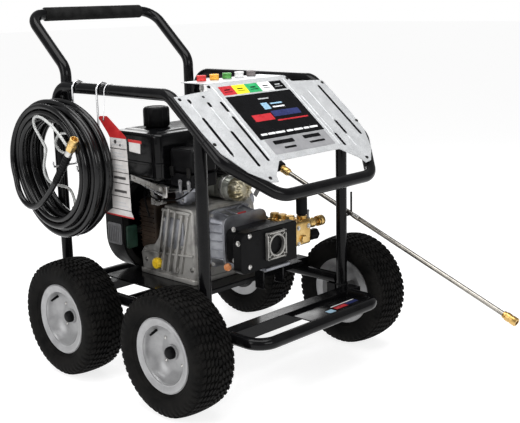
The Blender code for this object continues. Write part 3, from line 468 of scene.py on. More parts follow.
def softBlock(low, high, r, steps=5, warp=None):
    # A box with round edges: a sphere's points of radius r, each pushed out to its own corner of the box.
    low, high = np.asarray(low, float), np.asarray(high, float)
    half, middle = (high - low) / 2 - r, (high + low) / 2
    quarter = np.linspace(0, np.pi / 2, steps + 1)
    a = np.concatenate([quarter + k * np.pi / 2 for k in range(4)])
    sx = np.repeat([1, -1, -1, 1], steps + 1)
    sy = np.repeat([1, 1, -1, -1], steps + 1)
    e = np.concatenate([quarter - np.pi / 2, quarter])
    sz = np.repeat([-1, 1], steps + 1)
    n = np.stack([np.cos(e)[:, None] * np.cos(a), np.cos(e)[:, None] * np.sin(a), np.sin(e)[:, None] + 0 * a], -1)
    s = np.stack(np.broadcast_arrays(sx[None], sy[None], sz[:, None]), -1)
    points = middle + s * half + r * n
    count = len(a)
    faces = gridFaces(len(e), count, False, True).tolist()
    faces += [list(range(count))[::-1], list(range((len(e) - 1) * count, len(e) * count))]
    points = points.reshape(-1, 3)
    return (points if warp is None else warp(points)), faces


def many(shape, centres):
    # Copies of a small shape, one at each centre.
    points, faces = shape
    return merged(*[(np.asarray(points) + c, faces) for c in np.asarray(centres, float)])


def hexBolt(axis, r=0.006, height=0.005, washer=True):
    # A six-sided head with a chamfered top on a round washer.
    head = lathe([(0, 0), (r, 0), (r, height * 0.8), (r * 0.86, height), (0, height)], axis, (0, 0, 0), 6)
    ring = lathe([(0, -0.0008), (r * 1.45, -0.0008), (r * 1.45, 0.0009), (0, 0.0009)], axis, (0, 0, 0), 20)
    return merged(head, ring) if washer else head


def ball(centre, r):
    # A half circle (r sin a, -r cos a) carried round z.
    a = np.linspace(0, np.pi, 9)
    return lathe(np.stack([r * np.sin(a), -r * np.cos(a)], -1), (0, 0, 1), centre, 16)


def piece(name, shape, finish, body="chassis", replaces=(), bevel=0.0, bevelSteps=2, smooth=34):
    # Puts a shape's points and faces into a mesh at the origin, welds it, turns it outwards and rides it on a
    # body.
    points, faces = shape
    points = np.asarray(points, float) + (0, shiftY, 0)
    mesh = bpy.data.meshes.new(name)
    mesh.from_pydata(points.tolist(), [], faces if isinstance(faces, list) else faces.tolist())
    work = bmesh.new()
    work.from_mesh(mesh)
    bmesh.ops.remove_doubles(work, verts=work.verts, dist=2e-6)
    bmesh.ops.dissolve_degenerate(work, edges=work.edges, dist=1e-7)
    bmesh.ops.recalc_face_normals(work, faces=work.faces)
    work.to_mesh(mesh)
    work.free()
    mesh.materials.append(finishOf(finish))
    mesh.shade_smooth()
    mesh.set_sharp_from_angle(angle=math.radians(smooth))
    item = bpy.data.objects.new(name, mesh)
    bpy.context.scene.collection.objects.link(item)
    if bevel:
        rounding = item.modifiers.new("rounding", "BEVEL")
        rounding.width = bevel
        rounding.segments = bevelSteps
        rounding.limit_method = "ANGLE"
        rounding.angle_limit = math.radians(smooth)
    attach(item, body)
    if replaces:
        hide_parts(*replaces)
    return item


hoseSet = {"radius": 0.00825, "centre": (0.2615, 0.5855), "firstX": -0.305, "columnStep": 0.0164, "innerR": 0.1435,
           "rowStep": 0.0178, "perTurn": 64, "startAngle": 60.0, "turns": 14, "entry": 0.5, "tail": 0.2,
           "entryR": 0.108, "moveFrom": 0.7, "leaveX": 0.016, "leaveR": 0.0135, "sag": (0.004, 0.003),
           "lead": [(-0.3872, 0.418, 0.548), (-0.3885, 0.408, 0.51), (-0.389, 0.382, 0.48),
                    (-0.3892, 0.348, 0.469), (-0.3892, 0.313, 0.4765), (-0.3892, 0.28, 0.497),
                    (-0.3892, 0.248, 0.524), (-0.3895, 0.218, 0.553), (-0.3905, 0.19, 0.583),
                    (-0.3925, 0.164, 0.61), (-0.3945, 0.1405, 0.6375)]}


def hoseRoute(s):
    # Turn after turn round the hanger, each turn in its own place of a staggered stack, moving over at its end.
    # The angle falls steadily; radius and x hold for most of a turn and slide to the next place over the rest
    # of it.
    columns = [[k * s["rowStep"] + (s["rowStep"] / 2 if c % 2 else 0)
                for k in ((0, 1, 2) if c % 2 == 0 else (2, 1, 0))] for c in range(5)]
    places = [(s["innerR"] + r, s["firstX"] - c * s["columnStep"]) for c, rows in enumerate(columns) for r in rows]
    full, tail, entry = s["turns"], s["tail"], s["entry"]
    places = np.array([(s["entryR"], s["firstX"] - 0.009)] + places)
    turns = np.arange(-entry, full + tail, 1 / s["perTurn"])
    slot = np.clip(np.floor(turns).astype(int), -1, full)
    part = turns - np.floor(turns)
    move = np.clip((part - s["moveFrom"]) / 0.3, 0, 1)
    entering = turns < 0
    move = np.where(entering, np.clip((turns + entry) / entry, 0, 1), move)
    ease = (move * move * (3 - 2 * move))[:, None]
    now = places[slot + 1]
    after = places[np.minimum(slot + 2, full + 1)]
    r, x = (now * (1 - ease) + after * ease).T
    leaving = np.clip((turns - full) / tail, 0, 1)
    leaving = leaving * leaving * (3 - 2 * leaving)
    x = x - s["leaveX"] * leaving
    r = r - s["leaveR"] * leaving
    angle = math.radians(s["startAngle"]) - 2 * np.pi * turns
    sag = s["sag"][0] * np.sin(2 * angle + 0.6) + s["sag"][1] * np.sin(3 * angle)
    y = s["centre"][0] + (r + sag) * np.cos(angle)
    z = s["centre"][1] + (r + sag) * np.sin(angle)
    coil = np.stack([x, y, z], -1)
    lead = smoothPath([coil[-1], *s["lead"]], 90)
    return np.vstack([coil, lead[1:]])


def evenly(path, step):
    # The same line with points at even distances along it, eased by a short running mean.
    gaps = np.concatenate([[0], np.cumsum(np.linalg.norm(np.diff(path, axis=0), axis=1))])
    at = np.linspace(0, gaps[-1], max(8, round(gaps[-1] / step)))
    even = np.stack([np.interp(at, gaps, path[:, k]) for k in range(3)], -1)
    soft = even.copy()
    soft[1:-1] = (even[:-2] + 2 * even[1:-1] + even[2:]) / 4
    return soft, gaps[-1]


def makeHose(s):
    # A round section along the coil and its lead, with turned fittings at both ends.
    path, length = evenly(hoseRoute(s), 0.014)
    hose = piece("hose", sweep(path, s["radius"], 16), "hoseCover",
                 replaces=("hose_coil", "hose_lead"))
    tip, way = path[-1], unit(path[-1] - path[-2])
    hexNut = lathe([(0, 0.02), (0.0128, 0.02), (0.0138, 0.0215), (0.0138, 0.0405), (0.0128, 0.042), (0, 0.042)],
                   way, tip, 6)
    nose = lathe([(0, 0.041), (0.0108, 0.041), (0.0118, 0.043), (0.0118, 0.056), (0.0125, 0.057), (0.0125, 0.0605),
                  (0.0108, 0.062), (0.0085, 0.062), (0.0085, 0.05), (0, 0.05)], way, tip, 36)
    fitting = piece("hoseFitting", merged(hexNut, nose), "forgedBrass", replaces=("hose_fitting",),
                    bevel=0.0004)
    ferrule = piece("hoseFerrule", lathe([(0.0084, 0.0), (0.0102, 0.0), (0.0108, 0.002), (0.0108, 0.018),
                                          (0.01, 0.0205), (0, 0.0205), (0, 0.0)],
                                         way, tip, 32), "brightSteel")
    back = path[::-1][:9]
    reliefPath, _ = evenly(back, 0.0022)
    along = np.linspace(0, 1, len(reliefPath))
    ribs = 0.0112 - 0.0016 * along + 0.0006 * np.sign(np.sin(along * 2 * np.pi * 11))
    relief = piece("hoseRelief", sweep(reliefPath, ribs, 24), "mouldedBlack")
    start, away = path[0], unit(path[0] - path[1])
    endNut = lathe([(0, 0.014), (0.0115, 0.014), (0.0115, 0.03), (0, 0.03)], away, start, 6)
    endBody = lathe([(0, 0), (0.01, 0), (0.0105, 0.002), (0.0105, 0.0145), (0, 0.0145)], away, start, 28)
    endNose = lathe([(0, 0.029), (0.0085, 0.029), (0.0085, 0.045), (0, 0.045)], away, start, 28)
    hiddenEnd = piece("hoseHiddenEnd", merged(endNut, endBody, endNose), "forgedBrass")
    print("hose length", round(length, 3))


siphonSet = {"radius": 0.004, "route": [
    (-0.2885, 0.275, 0.4085), (-0.288, 0.274, 0.43), (-0.2885, 0.276, 0.46), (-0.29, 0.28, 0.49),
    (-0.3, 0.285, 0.515), (-0.325, 0.29, 0.527), (-0.348, 0.297, 0.536), (-0.36, 0.308, 0.56),
    (-0.362, 0.308, 0.59), (-0.366, 0.292, 0.62), (-0.376, 0.272, 0.642), (-0.3845, 0.28, 0.67),
    (-0.385, 0.305, 0.7), (-0.385, 0.306, 0.724), (-0.385, 0.275, 0.729), (-0.385, 0.23, 0.713),
    (-0.385, 0.19, 0.688), (-0.383, 0.162, 0.662), (-0.37, 0.16, 0.645), (-0.355, 0.185, 0.635),
    (-0.345, 0.22, 0.629), (-0.34, 0.26, 0.633), (-0.335, 0.285, 0.652), (-0.33, 0.27, 0.675),
    (-0.325, 0.235, 0.68), (-0.32, 0.2, 0.665), (-0.315, 0.185, 0.64), (-0.312, 0.195, 0.618)]}


def makeSiphon(s):
    # A round section along a smooth curve through the route, with the strainer at its first point.
    path = smoothPath(s["route"], 220)
    path, length = evenly(path, 0.004)
    tube = piece("siphonTube", sweep(path, s["radius"], 14), "clearVinyl",
                 replaces=("siphon_tube",))
    x, y, z = s["route"][0]
    profile = [(0, 0.004), (0.0052, 0.004), (0.0058, 0.0), (0.0068, -0.002), (0.007, -0.006), (0.0062, -0.007),
               (0.0062, -0.02), (0.007, -0.021), (0.007, -0.024), (0.0055, -0.032), (0.0035, -0.0343),
               (0, -0.0343)]
    strainer = piece("siphonStrainer", lathe(profile, (0, 0, 1), (x, y, z), 28,
                                             wave=lambda a: 1 + 0.02 * np.sign(np.sin(14 * a))),
                     "guardWhite", replaces=("siphon_strainer",))
    print("siphon length", round(length, 3))


makeHose(hoseSet)
makeSiphon(siphonSet)
print("stage: cords")


frameSet = {"tubeR": 0.016, "cageX": 0.273, "rearY": 0.355, "frontY": -0.247, "topZ": 0.801, "railZ": 0.215,
            "sides": 32}


def weld(centre, axis, r, thick=0.0022):
    # A lumpy weld bead round a tube: a ring whose section swells and shrinks about fifty times a turn.
    a = np.linspace(0, 2 * np.pi, 97)[:-1]
    u, v, w = basis(axis)
    bead = thick * (1 + 0.25 * np.sin(a * 24))
    b = np.arange(8) * np.pi / 4
    ring = np.cos(a)[:, None] * u + np.sin(a)[:, None] * v
    out = ring[:, None] * (r + bead[:, None] * np.cos(b))[..., None]
    points = np.asarray(centre) + out + (bead[:, None] * np.sin(b))[..., None] * w
    return points.reshape(-1, 3), gridFaces(96, 8, True, True)


def makeFrameTubes(s):
    # Round tubes along bent lines: side cages, front posts, the sloped front tube and the base.
    r, x = s["tubeR"], s["cageX"]
    for side, name in ((-1, "left"), (1, "right")):
        corners = [(side * x, s["rearY"], s["railZ"] + 0.004), (side * x, s["rearY"], s["topZ"]),
                   (side * x, slopeSet["start"][0], s["topZ"]), slopePoint(side * x, 0.175, 0)]
        tube = sweep(bentPath(corners, 0.055, 5), r, s["sides"])
        beads = merged(weld((side * x, s["rearY"], s["railZ"] + r * 1.02), (0, 0, 1), r),
                       weld(slopePoint(side * x, 0.175, 0), slopePoint(0, 1, 0) - slopePoint(0, 0, 0), r, 0.0012))
        piece(f"cageTube_{name}", merged(tube, beads), "powderBlack",
              replaces=(f"cage_tube_{name}",), smooth=50)
        foot, head = (side * x, s["frontY"], 0.165), (side * x, s["frontY"], 0.7085)
        post = merged(sweep(np.linspace(foot, head, 12), r, s["sides"]),
                      weld((side * x, s["frontY"], 0.201), (0, 0, 1), r))
        if side > 0:
            hook = sweep(bentPath([(x, s["frontY"] - 0.002, 0.4045), (0.3165, s["frontY"] - 0.002, 0.4045),
                                   (0.3165, s["frontY"] - 0.002, 0.469)], 0.007), 0.0032, 14)
            post = merged(post, hook, ball((0.3165, s["frontY"] - 0.002, 0.469), 0.0034))
        piece(f"frontPost_{name}", post, "powderBlack", replaces=(f"front_post_{name}",),
              smooth=50)
    half = [slopePoint(x, 0.1752, 0), slopePoint(x, 0.245, 0), slopePoint(0.176, 0.377, 0)]
    mirror = np.array([-1, 1, 1])
    loop = [p * mirror for p in half] + half[::-1]
    piece("frontTube", sweep(bentPath(loop, 0.058, 5), r, s["sides"]), "powderBlack",
          replaces=("front_tube",))
    base = [(-x, s["frontY"] + 0.0162, s["railZ"]), (-x, s["rearY"], s["railZ"]), (x, s["rearY"], s["railZ"]),
            (x, s["frontY"] + 0.0162, s["railZ"])]
    piece("baseFrame", sweep(bentPath(base, 0.03, 6), r, s["sides"]), "powderBlack",
          replaces=("base_frame",))


bumperSet = {"z": 0.188, "y": -0.408, "x": 0.24, "top": 0.2, "front": -0.305, "back": -0.2635}


def makeBumper(s):
    # An angle iron across the front, a bent tube ahead of it and a plate with plain marks.
    front, back, top = s["front"], s["back"], s["top"]
    iron = extruded([(front, 0.165), (front + 0.004, 0.165), (front + 0.004, top - 0.004), (back, top - 0.004),
                     (back, top), (front, top)], -0.289, 0.289, alongX)
    loop = [(-s["x"], front + 0.002, s["z"]), (-s["x"], s["y"], s["z"]), (s["x"], s["y"], s["z"]),
            (s["x"], front + 0.002, s["z"])]
    tube = sweep(bentPath(loop, 0.05, 5), 0.016, 32)
    beads = merged(*[weld((side * s["x"], front - 0.0005, s["z"]), (0, 1, 0), 0.0155) for side in (-1, 1)])
    plate = softBlock((-0.02, s["y"] + 0.002, 0.1885), (0.232, front + 0.002, 0.1915), 0.0012, 3)
    piece("frontBumper", merged(tube, beads, plate), "powderBlack", smooth=50)
    piece("crossBar", iron, "powderBlack", replaces=("front_bumper",), bevel=0.0012)
    marks = [("badgeRed", (0.1, 0.148), (-0.372, -0.356), "labelRed"),
             ("badgeBlue", (0.152, 0.2), (-0.368, -0.354), "labelBlue"),
             ("badgeLine", (0.1, 0.2), (-0.35, -0.3465), "labelWhite"),
             ("badgeSky", (0.062, 0.088), (-0.38, -0.36), "labelSky")]
    for name, xs, ys, finish in marks:
        outline = roundedRectangle(*xs, *ys, 0.0015, 3)
        piece(name, extruded(outline, 0.1916, 0.1921, alongZ), finish)


handleSet = {"x": 0.236, "rearY": 0.356, "gripY": 0.525, "gripZ": 1.0006, "gripR": 0.0205, "half": 0.183}


def makeHandle(s):
    # A bent tube, and foam on its bar: r = tube + step * sqrt(1 - (1 - e)^2) near each end.
    half = [(s["x"], s["rearY"], 0.62), (s["x"], s["rearY"], 0.85), (s["x"], s["gripY"], s["gripZ"])]
    corners = [(-x, y, z) for x, y, z in half] + half[::-1]
    tube = sweep(bentPath(corners, 0.052, 5), 0.016, 32)
    piece("handleTube", tube, "powderBlack", replaces=("handle_tube",))
    along = np.linspace(-s["half"], s["half"], 120)
    edge = np.clip((s["half"] - np.abs(along)) / 0.004, 0, 1)
    r = 0.0168 + (s["gripR"] - 0.0168) * np.sqrt(1 - (1 - edge) ** 2) - 0.0004 * (np.sin(along * 420) > 0.93)
    profile = [(0.0163, -s["half"])] + list(zip(r, along)) + [(0.0163, s["half"])]
    piece("handleGrip", lathe(profile, (1, 0, 0), (0, s["gripY"], s["gripZ"]), 40, closed=True), "gripFoam",
          replaces=("handle_grip",), smooth=50)
    bolts = many(hexBolt((0, 1, 0), 0.0065, 0.005),
                 [(side * (s["x"] + 0.018), s["rearY"] + 0.0165, z) for side in (-1, 1) for z in (0.66, 0.76)])
    bracket = merged(*[softBlock((side * 0.2545 - 0.02, s["rearY"] - 0.006, z - 0.012),
                                 (side * 0.2545 + 0.02, s["rearY"] + 0.0158, z + 0.012), 0.003, 3)
                       for side in (-1, 1) for z in (0.66, 0.76)])
    piece("handleClamps", bracket, "powderBlack")
    piece("handleBolts", bolts, "brightSteel")


hangerSet = {"r": 0.0028, "ys": (0.136, 0.247), "armX": -0.372, "armZ": 0.592}


def makeHanger(s):
    # Two hooks over the cage tube: an arc over the top, then straight down and out, tied by a bar.
    over = 0.016 + s["r"] + 0.001
    downX = -0.273 - over
    shapes = []
    for y in s["ys"]:
        bow = [(x, y, z) for x, z in arcPoints((-0.273, 0.801), over, -30, 178, 26)]
        arm = bentPath([(downX, y, 0.8), (downX, y, s["armZ"]), (s["armX"], y, s["armZ"]),
                        (s["armX"], y, s["armZ"] + 0.012)], 0.006, 10)
        shapes += [sweep(np.vstack([bow, arm]), s["r"], 14), ball(bow[0], s["r"] * 1.02),
                   ball(arm[-1], s["r"] * 1.02)]
    shapes.append(sweep(np.linspace((downX, s["ys"][0], 0.64), (downX, s["ys"][1], 0.64), 6), s["r"] * 0.9, 12))
    piece("hoseHanger", merged(*shapes), "chromedWire", replaces=("hose_hanger",), smooth=50)


holsterSet = {"inner": 0.2775, "outer": 0.3195, "thick": 0.003, "low": 0.525}


def makeHolster(s):
    # A flat bar bent into a hook: its side outline carried along y.
    inner, outer, thick, low = s["inner"], s["outer"], s["thick"], s["low"]
    outline = [(inner, 0.7845), (inner, low), (outer + thick, low), (outer + thick, 0.562), (outer, 0.562),
               (outer, low + thick), (inner + thick, low + thick), (inner + thick, 0.7845)]
    piece("gunHolster", extruded(outline, 0.085, 0.115, alongY), "powderBlack",
          replaces=("gun_holster",), bevel=0.0009)


makeFrameTubes(frameSet)
makeBumper(bumperSet)
makeHandle(handleSet)
makeHanger(hangerSet)
makeHolster(holsterSet)
print("stage: frame")


wheelSet = {"track": 0.355, "base": 0.218, "axleZ": 0.165, "lugs": 50, "rows": 9, "treadHalf": 0.0535,
            "blockHeight": 0.0048, "gap": 0.0011, "treadR": 0.1598, "crown": 0.0052, "lean": 4.5,
            "wall": [(0.079, 0.03), (0.079, 0.0438), (0.09, 0.0446), (0.099, 0.0452), (0.101, 0.048),
                     (0.1045, 0.0515), (0.1085, 0.0545), (0.1095, 0.056), (0.1115, 0.0563), (0.113, 0.057),
                     (0.122, 0.0608), (0.132, 0.0622), (0.14, 0.0618), (0.146, 0.0598), (0.151, 0.0566)]}


def tyreShape(s, side, y):
    # A wall profile and a crowned tread, carried round the axle. Every row of tread is turned by half a lug
    # against the next and leans with the distance from the middle; a block is the part of a lug that stands up
    # by the block height.
    fractions = np.array([0.0, 0.05, 0.62, 0.68, 0.84])
    high = np.array([0, 1, 1, 0, 0.0])
    pitch = 2 * np.pi / s["lugs"]
    theta = (np.arange(s["lugs"])[:, None] + fractions[None]).reshape(-1) * pitch
    lug = np.tile(high, s["lugs"])
    edges = np.linspace(-s["treadHalf"], s["treadHalf"], s["rows"] + 1)
    gap = s["gap"]
    lines, rise, turn = [], [], []
    for row in range(s["rows"]):
        a0, a1 = edges[row] + gap, edges[row + 1] - gap
        for a, h in ((a0, 0), (a0 + 0.0007, 1), (a1 - 0.0007, 1), (a1, 0)):
            lines.append(a)
            rise.append(h)
            turn.append(pitch * (0.5 * (row % 2)) + s["lean"] * abs(a))
    lines, rise, turn = map(np.array, (lines, rise, turn))
    treadR = s["treadR"] - s["crown"] * (np.abs(lines) / s["treadHalf"]) ** 2.4
    wall = np.array(s["wall"])
    low = np.stack([wall[:, 0], -wall[:, 1]], -1)
    profileR = np.concatenate([low[:, 0], treadR, wall[::-1, 0]])
    profileA = np.concatenate([low[:, 1], lines, wall[::-1, 1]])
    k = len(wall)
    up = np.concatenate([np.zeros(k), rise, np.zeros(k)])
    up[k - 3:k] = up[-k:-k + 3] = (0.12, 0.45, 0.75)
    up[-k:-k + 3] = (0.75, 0.45, 0.12)
    shift = np.concatenate([np.full(k, turn[0]), turn, np.full(k, turn[-1])])
    block = up[:, None] * lug[None]
    r = profileR[:, None] + s["blockHeight"] * block * np.where(np.abs(profileA) > s["treadHalf"], 0.45, 1)[:, None]
    shoulder = (np.abs(profileA) > s["treadHalf"])[:, None]
    a = profileA[:, None] + np.sign(profileA)[:, None] * 0.0018 * block * shoulder
    angle = theta[None] + shift[:, None]
    points = np.stack([side * (s["track"] + a), y + r * np.cos(angle), s["axleZ"] + r * np.sin(angle)], -1)
    return points.reshape(-1, 3), gridFaces(len(profileR), len(theta), True, True)


def rimShape(s, side, y):
    # The rim's closed section: outer lip, barrel, dished disc and hub, carried round the axle.
    lip = arcPoints((0.0962, 0.047), 0.002, 0, 90, 5)
    profile = [(0.0994, 0.0448), (0.078, 0.0448), (0.078, -0.0448), (0.0994, -0.0448), (0.0994, -0.0483),
               (0.0745, -0.0483), (0.0745, 0.02), (0.062, 0.0075), (0.05, 0.003), (0.02, 0.0),
               (0.02, -0.03), (0.0103, -0.03), (0.0103, 0.015), (0.0195, 0.015), (0.0205, 0.014),
               (0.021, 0.01), (0.03, 0.0085), (0.042, 0.0065), (0.048, 0.0068), (0.056, 0.0105),
               (0.064, 0.0165), (0.07, 0.0235), (0.0735, 0.03), (0.0752, 0.036), (0.0775, 0.0425),
               (0.082, 0.046), (0.09, 0.0472), (0.093, 0.049)]
    profile += [tuple(p) for p in lip[::-1]] + [(0.0994, 0.047)]
    return lathe(profile, (side, 0, 0), (side * s["track"], y, s["axleZ"]), 96, closed=True)


def makeWheels(s):
    # Four of each: tyre, rim, rivets on a circle, hub cap and valve, mirrored by the side.
    for side, sideName in ((-1, "left"), (1, "right")):
        for y, endName in ((-s["base"], "front"), (s["base"], "rear")):
            name = f"{endName}_{sideName}"
            body = f"wheel_{name}"
            piece(f"tyre_{name}_rubber", tyreShape(s, side, y), "tyreRubber", body, (f"tyre_{name}",),
                  smooth=38)
            piece(f"rim_{name}_steel", rimShape(s, side, y), "rimPaint", body, (f"rim_{name}",),
                  smooth=40)
            centre = np.array([side * s["track"], y, s["axleZ"]])
            a = np.radians((45, 135, 225, 315))
            rivets = [centre + (side * 0.0072, 0.043 * math.cos(q), 0.043 * math.sin(q)) for q in a]
            heads = many(lathe([(0, 0.0034), (0.0022, 0.0031), (0.004, 0.0018), (0.0046, 0), (0, 0)], (side, 0, 0),
                               (0, 0, 0), 16), rivets)
            piece(f"rivets_{name}", heads, "brightSteel", body)
            hub = lathe([(0, 0.03), (0.008, 0.0297), (0.013, 0.028), (0.0158, 0.0245), (0.0165, 0.02),
                         (0.0165, 0.0152), (0, 0.0152)], (side, 0, 0), centre, 40)
            piece(f"hubCap_{name}", hub, "mouldedBlack", body)
            stem = lathe([(0, 0), (0.0042, 0), (0.0036, 0.006), (0.0036, 0.018), (0.003, 0.019), (0.003, 0.026),
                          (0, 0.026)], (side, -0.2, -0.25),
                         centre + (side * 0.0235, 0.045, 0.052), 18)
            piece(f"valveStem_{name}", stem, "mouldedBlack", body)


makeWheels(wheelSet)
print("stage: wheels")


# Spans down the slope for each slot x: the first table is painted shade inside the open slot, the second is raised
# silver standing in for a highlight across the slot.
panelSet = {"top": 0.0184, "x": 0.124, "from": 0.049, "to": 0.209,
            "dark": {-0.247: [(0.04, 0.054), (0.108, 0.24)],
                     -0.193: [(0.034, 0.042), (0.058, 0.076), (0.165, 0.289)],
                     -0.151: [(0.062, 0.1), (0.117, 0.278)], 0.151: [(0.228, 0.276)], 0.193: [(0.183, 0.236)],
                     0.247: [(0.046, 0.248)]},
            "highlitSlots": {-0.247: [(0.056, 0.107)], -0.193: [(0.078, 0.163)], -0.151: [(0.101, 0.116)],
                        0.151: [(0.076, 0.226)], 0.193: [(0.062, 0.181), (0.238, 0.288)]}}


def slopePlate(name, xs, downs, lift, thick, finish, r=0.002):
    # A thin rounded plate lying on the sloped panel.
    outline = roundedRectangle(*xs, *downs, r, 3)
    return piece(name, extruded(outline, lift, lift + thick, onSlope), finish)


def makePanel(s):
    # Plain fields and lines as thin plates on the slope, creases, slots and screws.
    top, x0, wide, deep = s["top"], -s["x"], 2 * s["x"], s["to"] - s["from"]
    slopePlate("labelField", (-s["x"], s["x"]), (s["from"], s["to"]), top, 0.0004, "printBlackAndSlotShade")
    colours = ["labelRed", "labelYellow", "labelGreen", "labelWhite", "printBlackAndSlotShade"]
    for k, finish in enumerate(colours):
        left = -0.122 + 0.048 * k
        slopePlate(f"nozzleKey_{k + 1}", (left + 0.0004, left + 0.0476), (0.01, 0.043), top, 0.0004, finish,
                   0.0008)
        dark = "printBlackAndSlotShade" if k < 4 else "labelGrey"
        slopePlate(f"nozzleKeyMark_{k + 1}", (left + 0.014, left + 0.034), (0.022, 0.026), top + 0.0004, 0.0003,
                   dark, 0.0008)
        slopePlate(f"nozzleKeyLine_{k + 1}", (left + 0.01, left + 0.038), (0.031, 0.033), top + 0.0004, 0.0003,
                   dark, 0.0005)

    def mark(name, a, b, finish):
        # A field placed by shares of the label: first + share * length, across and down.
        slopePlate(name, (x0 + wide * a[0], x0 + wide * a[1]), (s["from"] + deep * b[0], s["from"] + deep * b[1]),
                   top + 0.0004, 0.0003, finish, 0.0012)

    mark("labelPatchSky", (0.4, 0.5), (0.23, 0.38), "labelSky")
    mark("labelPatchLineA", (0.54, 0.72), (0.25, 0.28), "labelSky")
    mark("labelPatchLineB", (0.54, 0.72), (0.33, 0.36), "labelWhite")
    mark("labelSmallLine", (0.42, 0.58), (0.12, 0.145), "labelGrey")
    mark("labelBarRed", (0.14, 0.43), (0.47, 0.62), "labelRed")
    mark("labelBarBlue", (0.45, 0.88), (0.43, 0.56), "labelBlue")
    mark("labelUnderline", (0.45, 0.93), (0.635, 0.665), "labelRed")
    for k, (first, last) in enumerate([(0.06, 0.15), (0.165, 0.27), (0.28, 0.42), (0.45, 0.55), (0.565, 0.7),
                                       (0.72, 0.8), (0.815, 0.94)]):
        mark(f"labelStripe_{k + 1}", (first, last), (0.882, 0.922), "labelWhite")
    slopePlate("labelFoot", (-0.113, 0.12), (0.2105, 0.264), top, 0.0003, "footGrey", 0.004)
    for k, (xs, ds) in enumerate([((-0.09, -0.014), (0.219, 0.232)), ((-0.066, -0.022), (0.243, 0.25)),
                                  ((0.026, 0.092), (0.217, 0.229)), ((0.034, 0.094), (0.24, 0.247))]):
        slopePlate(f"labelFootLine_{k + 1}", xs, ds, top + 0.0003, 0.0003, "printBlackAndSlotShade", 0.002)
    ridge = arcPoints((0, 0), 0.0035, 0, 180, 8) * (1, 0.35)
    creases = []
    for side in (-1, 1):
        outline = [(side * 0.137 + a, b + top - 0.0003) for a, b in ridge]
        creases.append(extruded(outline, 0.004, 0.268, lambda a, b, c: onSlope(a, c, b)))
    piece("panelCreases", merged(*creases), "panelSilver")
    # Open lengths of the long slots are thin black plates of painted shade; between those dark lengths, where a
    # highlight washes the slot out, a raised strip of panel silver stands in as painted highlight.
    def strip(x, first, last, half, low, high):
        # A long slot with nearly round ends, lying on the slope.
        return extruded(roundedRectangle(x - half, x + half, first, last, half * 0.9, 4), low, high, onSlope)

    dark = [strip(x, first, last, 0.0046, top - 0.0002, top + 0.0002) for x, spans in s["dark"].items()
            for first, last in spans]
    # Raised strips of panel silver where a highlight washes a slot out: painted highlight in place of the dark
    # slot.
    highlitSlots = [strip(x, first, last, 0.0038, top - 0.003, top + 0.0006) for x, spans in s["highlitSlots"].items()
               for first, last in spans]
    piece("panelSlots", merged(*dark), "printBlackAndSlotShade")
    piece("panelSlotHighlights", merged(*highlitSlots), "panelSilver", bevel=0.0012)
    screws = [slopePoint(side * x, d, top) for side in (-1, 1)
              for x, d in ((0.273, 0.038), (0.275, 0.198), (0.19, 0.33), (0.15, 0.006))]
    axis = slopePoint(0, 0, 1) - slopePoint(0, 0, 0)
    dome = lathe([(0, 0.0028), (0.0016, 0.0027), (0.0018, 0.0018), (0.0022, 0.0018), (0.0024, 0.0026),
                  (0.004, 0.0018), (0.0052, 0.0002), (0.0052, -0.0006), (0, -0.0006)],
                 axis, (0, 0, 0), 24)
    piece("panelScrews", many(dome, screws), "finBlack")


nozzleSet = {"y": -0.07, "seat": 0.8196, "xs": {"red": -0.098, "orange": -0.0505, "green": -0.003, "white": 0.0445,
                                                "grey": 0.092}}


def makeNozzles(s):
    # Each nozzle is a ribbed guard and a turned stem on the shelf, in a grommet.
    for colour, x in s["xs"].items():
        at = (x, s["y"], s["seat"])
        guard = lathe([(0.007, 0.0002), (0.0128, 0.0002), (0.0132, 0.0016), (0.0132, 0.0036), (0.0122, 0.0048),
                       (0.0122, 0.0112), (0.0132, 0.0124), (0.0132, 0.0134), (0.012, 0.015), (0.008, 0.015),
                       (0.0066, 0.012), (0.0066, 0.008), (0.0064, 0.003)], (0, 0, 1), at, 48, closed=True,
                      wave=lambda a: 1 + 0.012 * np.sign(np.sin(16 * a)))
        piece(f"nozzleGuard_{colour}", guard, f"guard{colour.capitalize()}", f"nozzle_{colour}",
              (f"nozzle_{colour}",), smooth=45)
        stem = lathe([(0, -0.0298), (0.0032, -0.0298), (0.0036, -0.029), (0.0046, -0.0288), (0.005, -0.024),
                      (0.0064, -0.0225), (0.0064, -0.015), (0.0052, -0.0142), (0.0052, -0.011), (0.0064, -0.0102),
                      (0.0064, 0.0085), (0.004, 0.0105), (0.004, 0.0135), (0, 0.0135)], (0, 0, 1), at, 32)
        piece(f"nozzleStem_{colour}", stem, "brightSteel", f"nozzle_{colour}")
    collars = [lathe([(0.0073, -0.004), (0.0105, -0.004), (0.0105, -0.002), (0.009, -0.002), (0.009, -0.0001),
                      (0.0073, -0.0001)], (0, 0, 1),
                     (x, s["y"], s["seat"] - 0.0023), 28, closed=True) for x in s["xs"].values()]
    piece("nozzleGrommets", merged(*collars), "mouldedBlack")


makePanel(panelSet)
makeNozzles(nozzleSet)
print("stage: panel")


crankSet = {"x": -0.015, "z": 0.38, "plateZ": 0.2573, "tilt": math.radians(22), "boreY": 0.05}


def loft(rings, closed=False):
    # Rings of equally many points joined in order; the first and the last are filled unless the loft is closed.
    rings = [np.asarray(r, float) for r in rings]
    n, k = len(rings[0]), len(rings)
    faces = gridFaces(k, n, closed, True).tolist()
    if not closed:
        faces += [list(range(n))[::-1], list(range((k - 1) * n, k * n))]
    return np.concatenate(rings), faces


def inset(box, d, r, toPlace, at, steps=8):
    # A rounded rectangle drawn in from the box by d, at one height.
    a0, a1, b0, b1 = box
    a, b = roundedRectangle(a0 + d, a1 - d, b0 + d, b1 - d, max(r - d, 0.0008), steps).T
    return np.stack(toPlace(a, b, np.full_like(a, at)), -1)


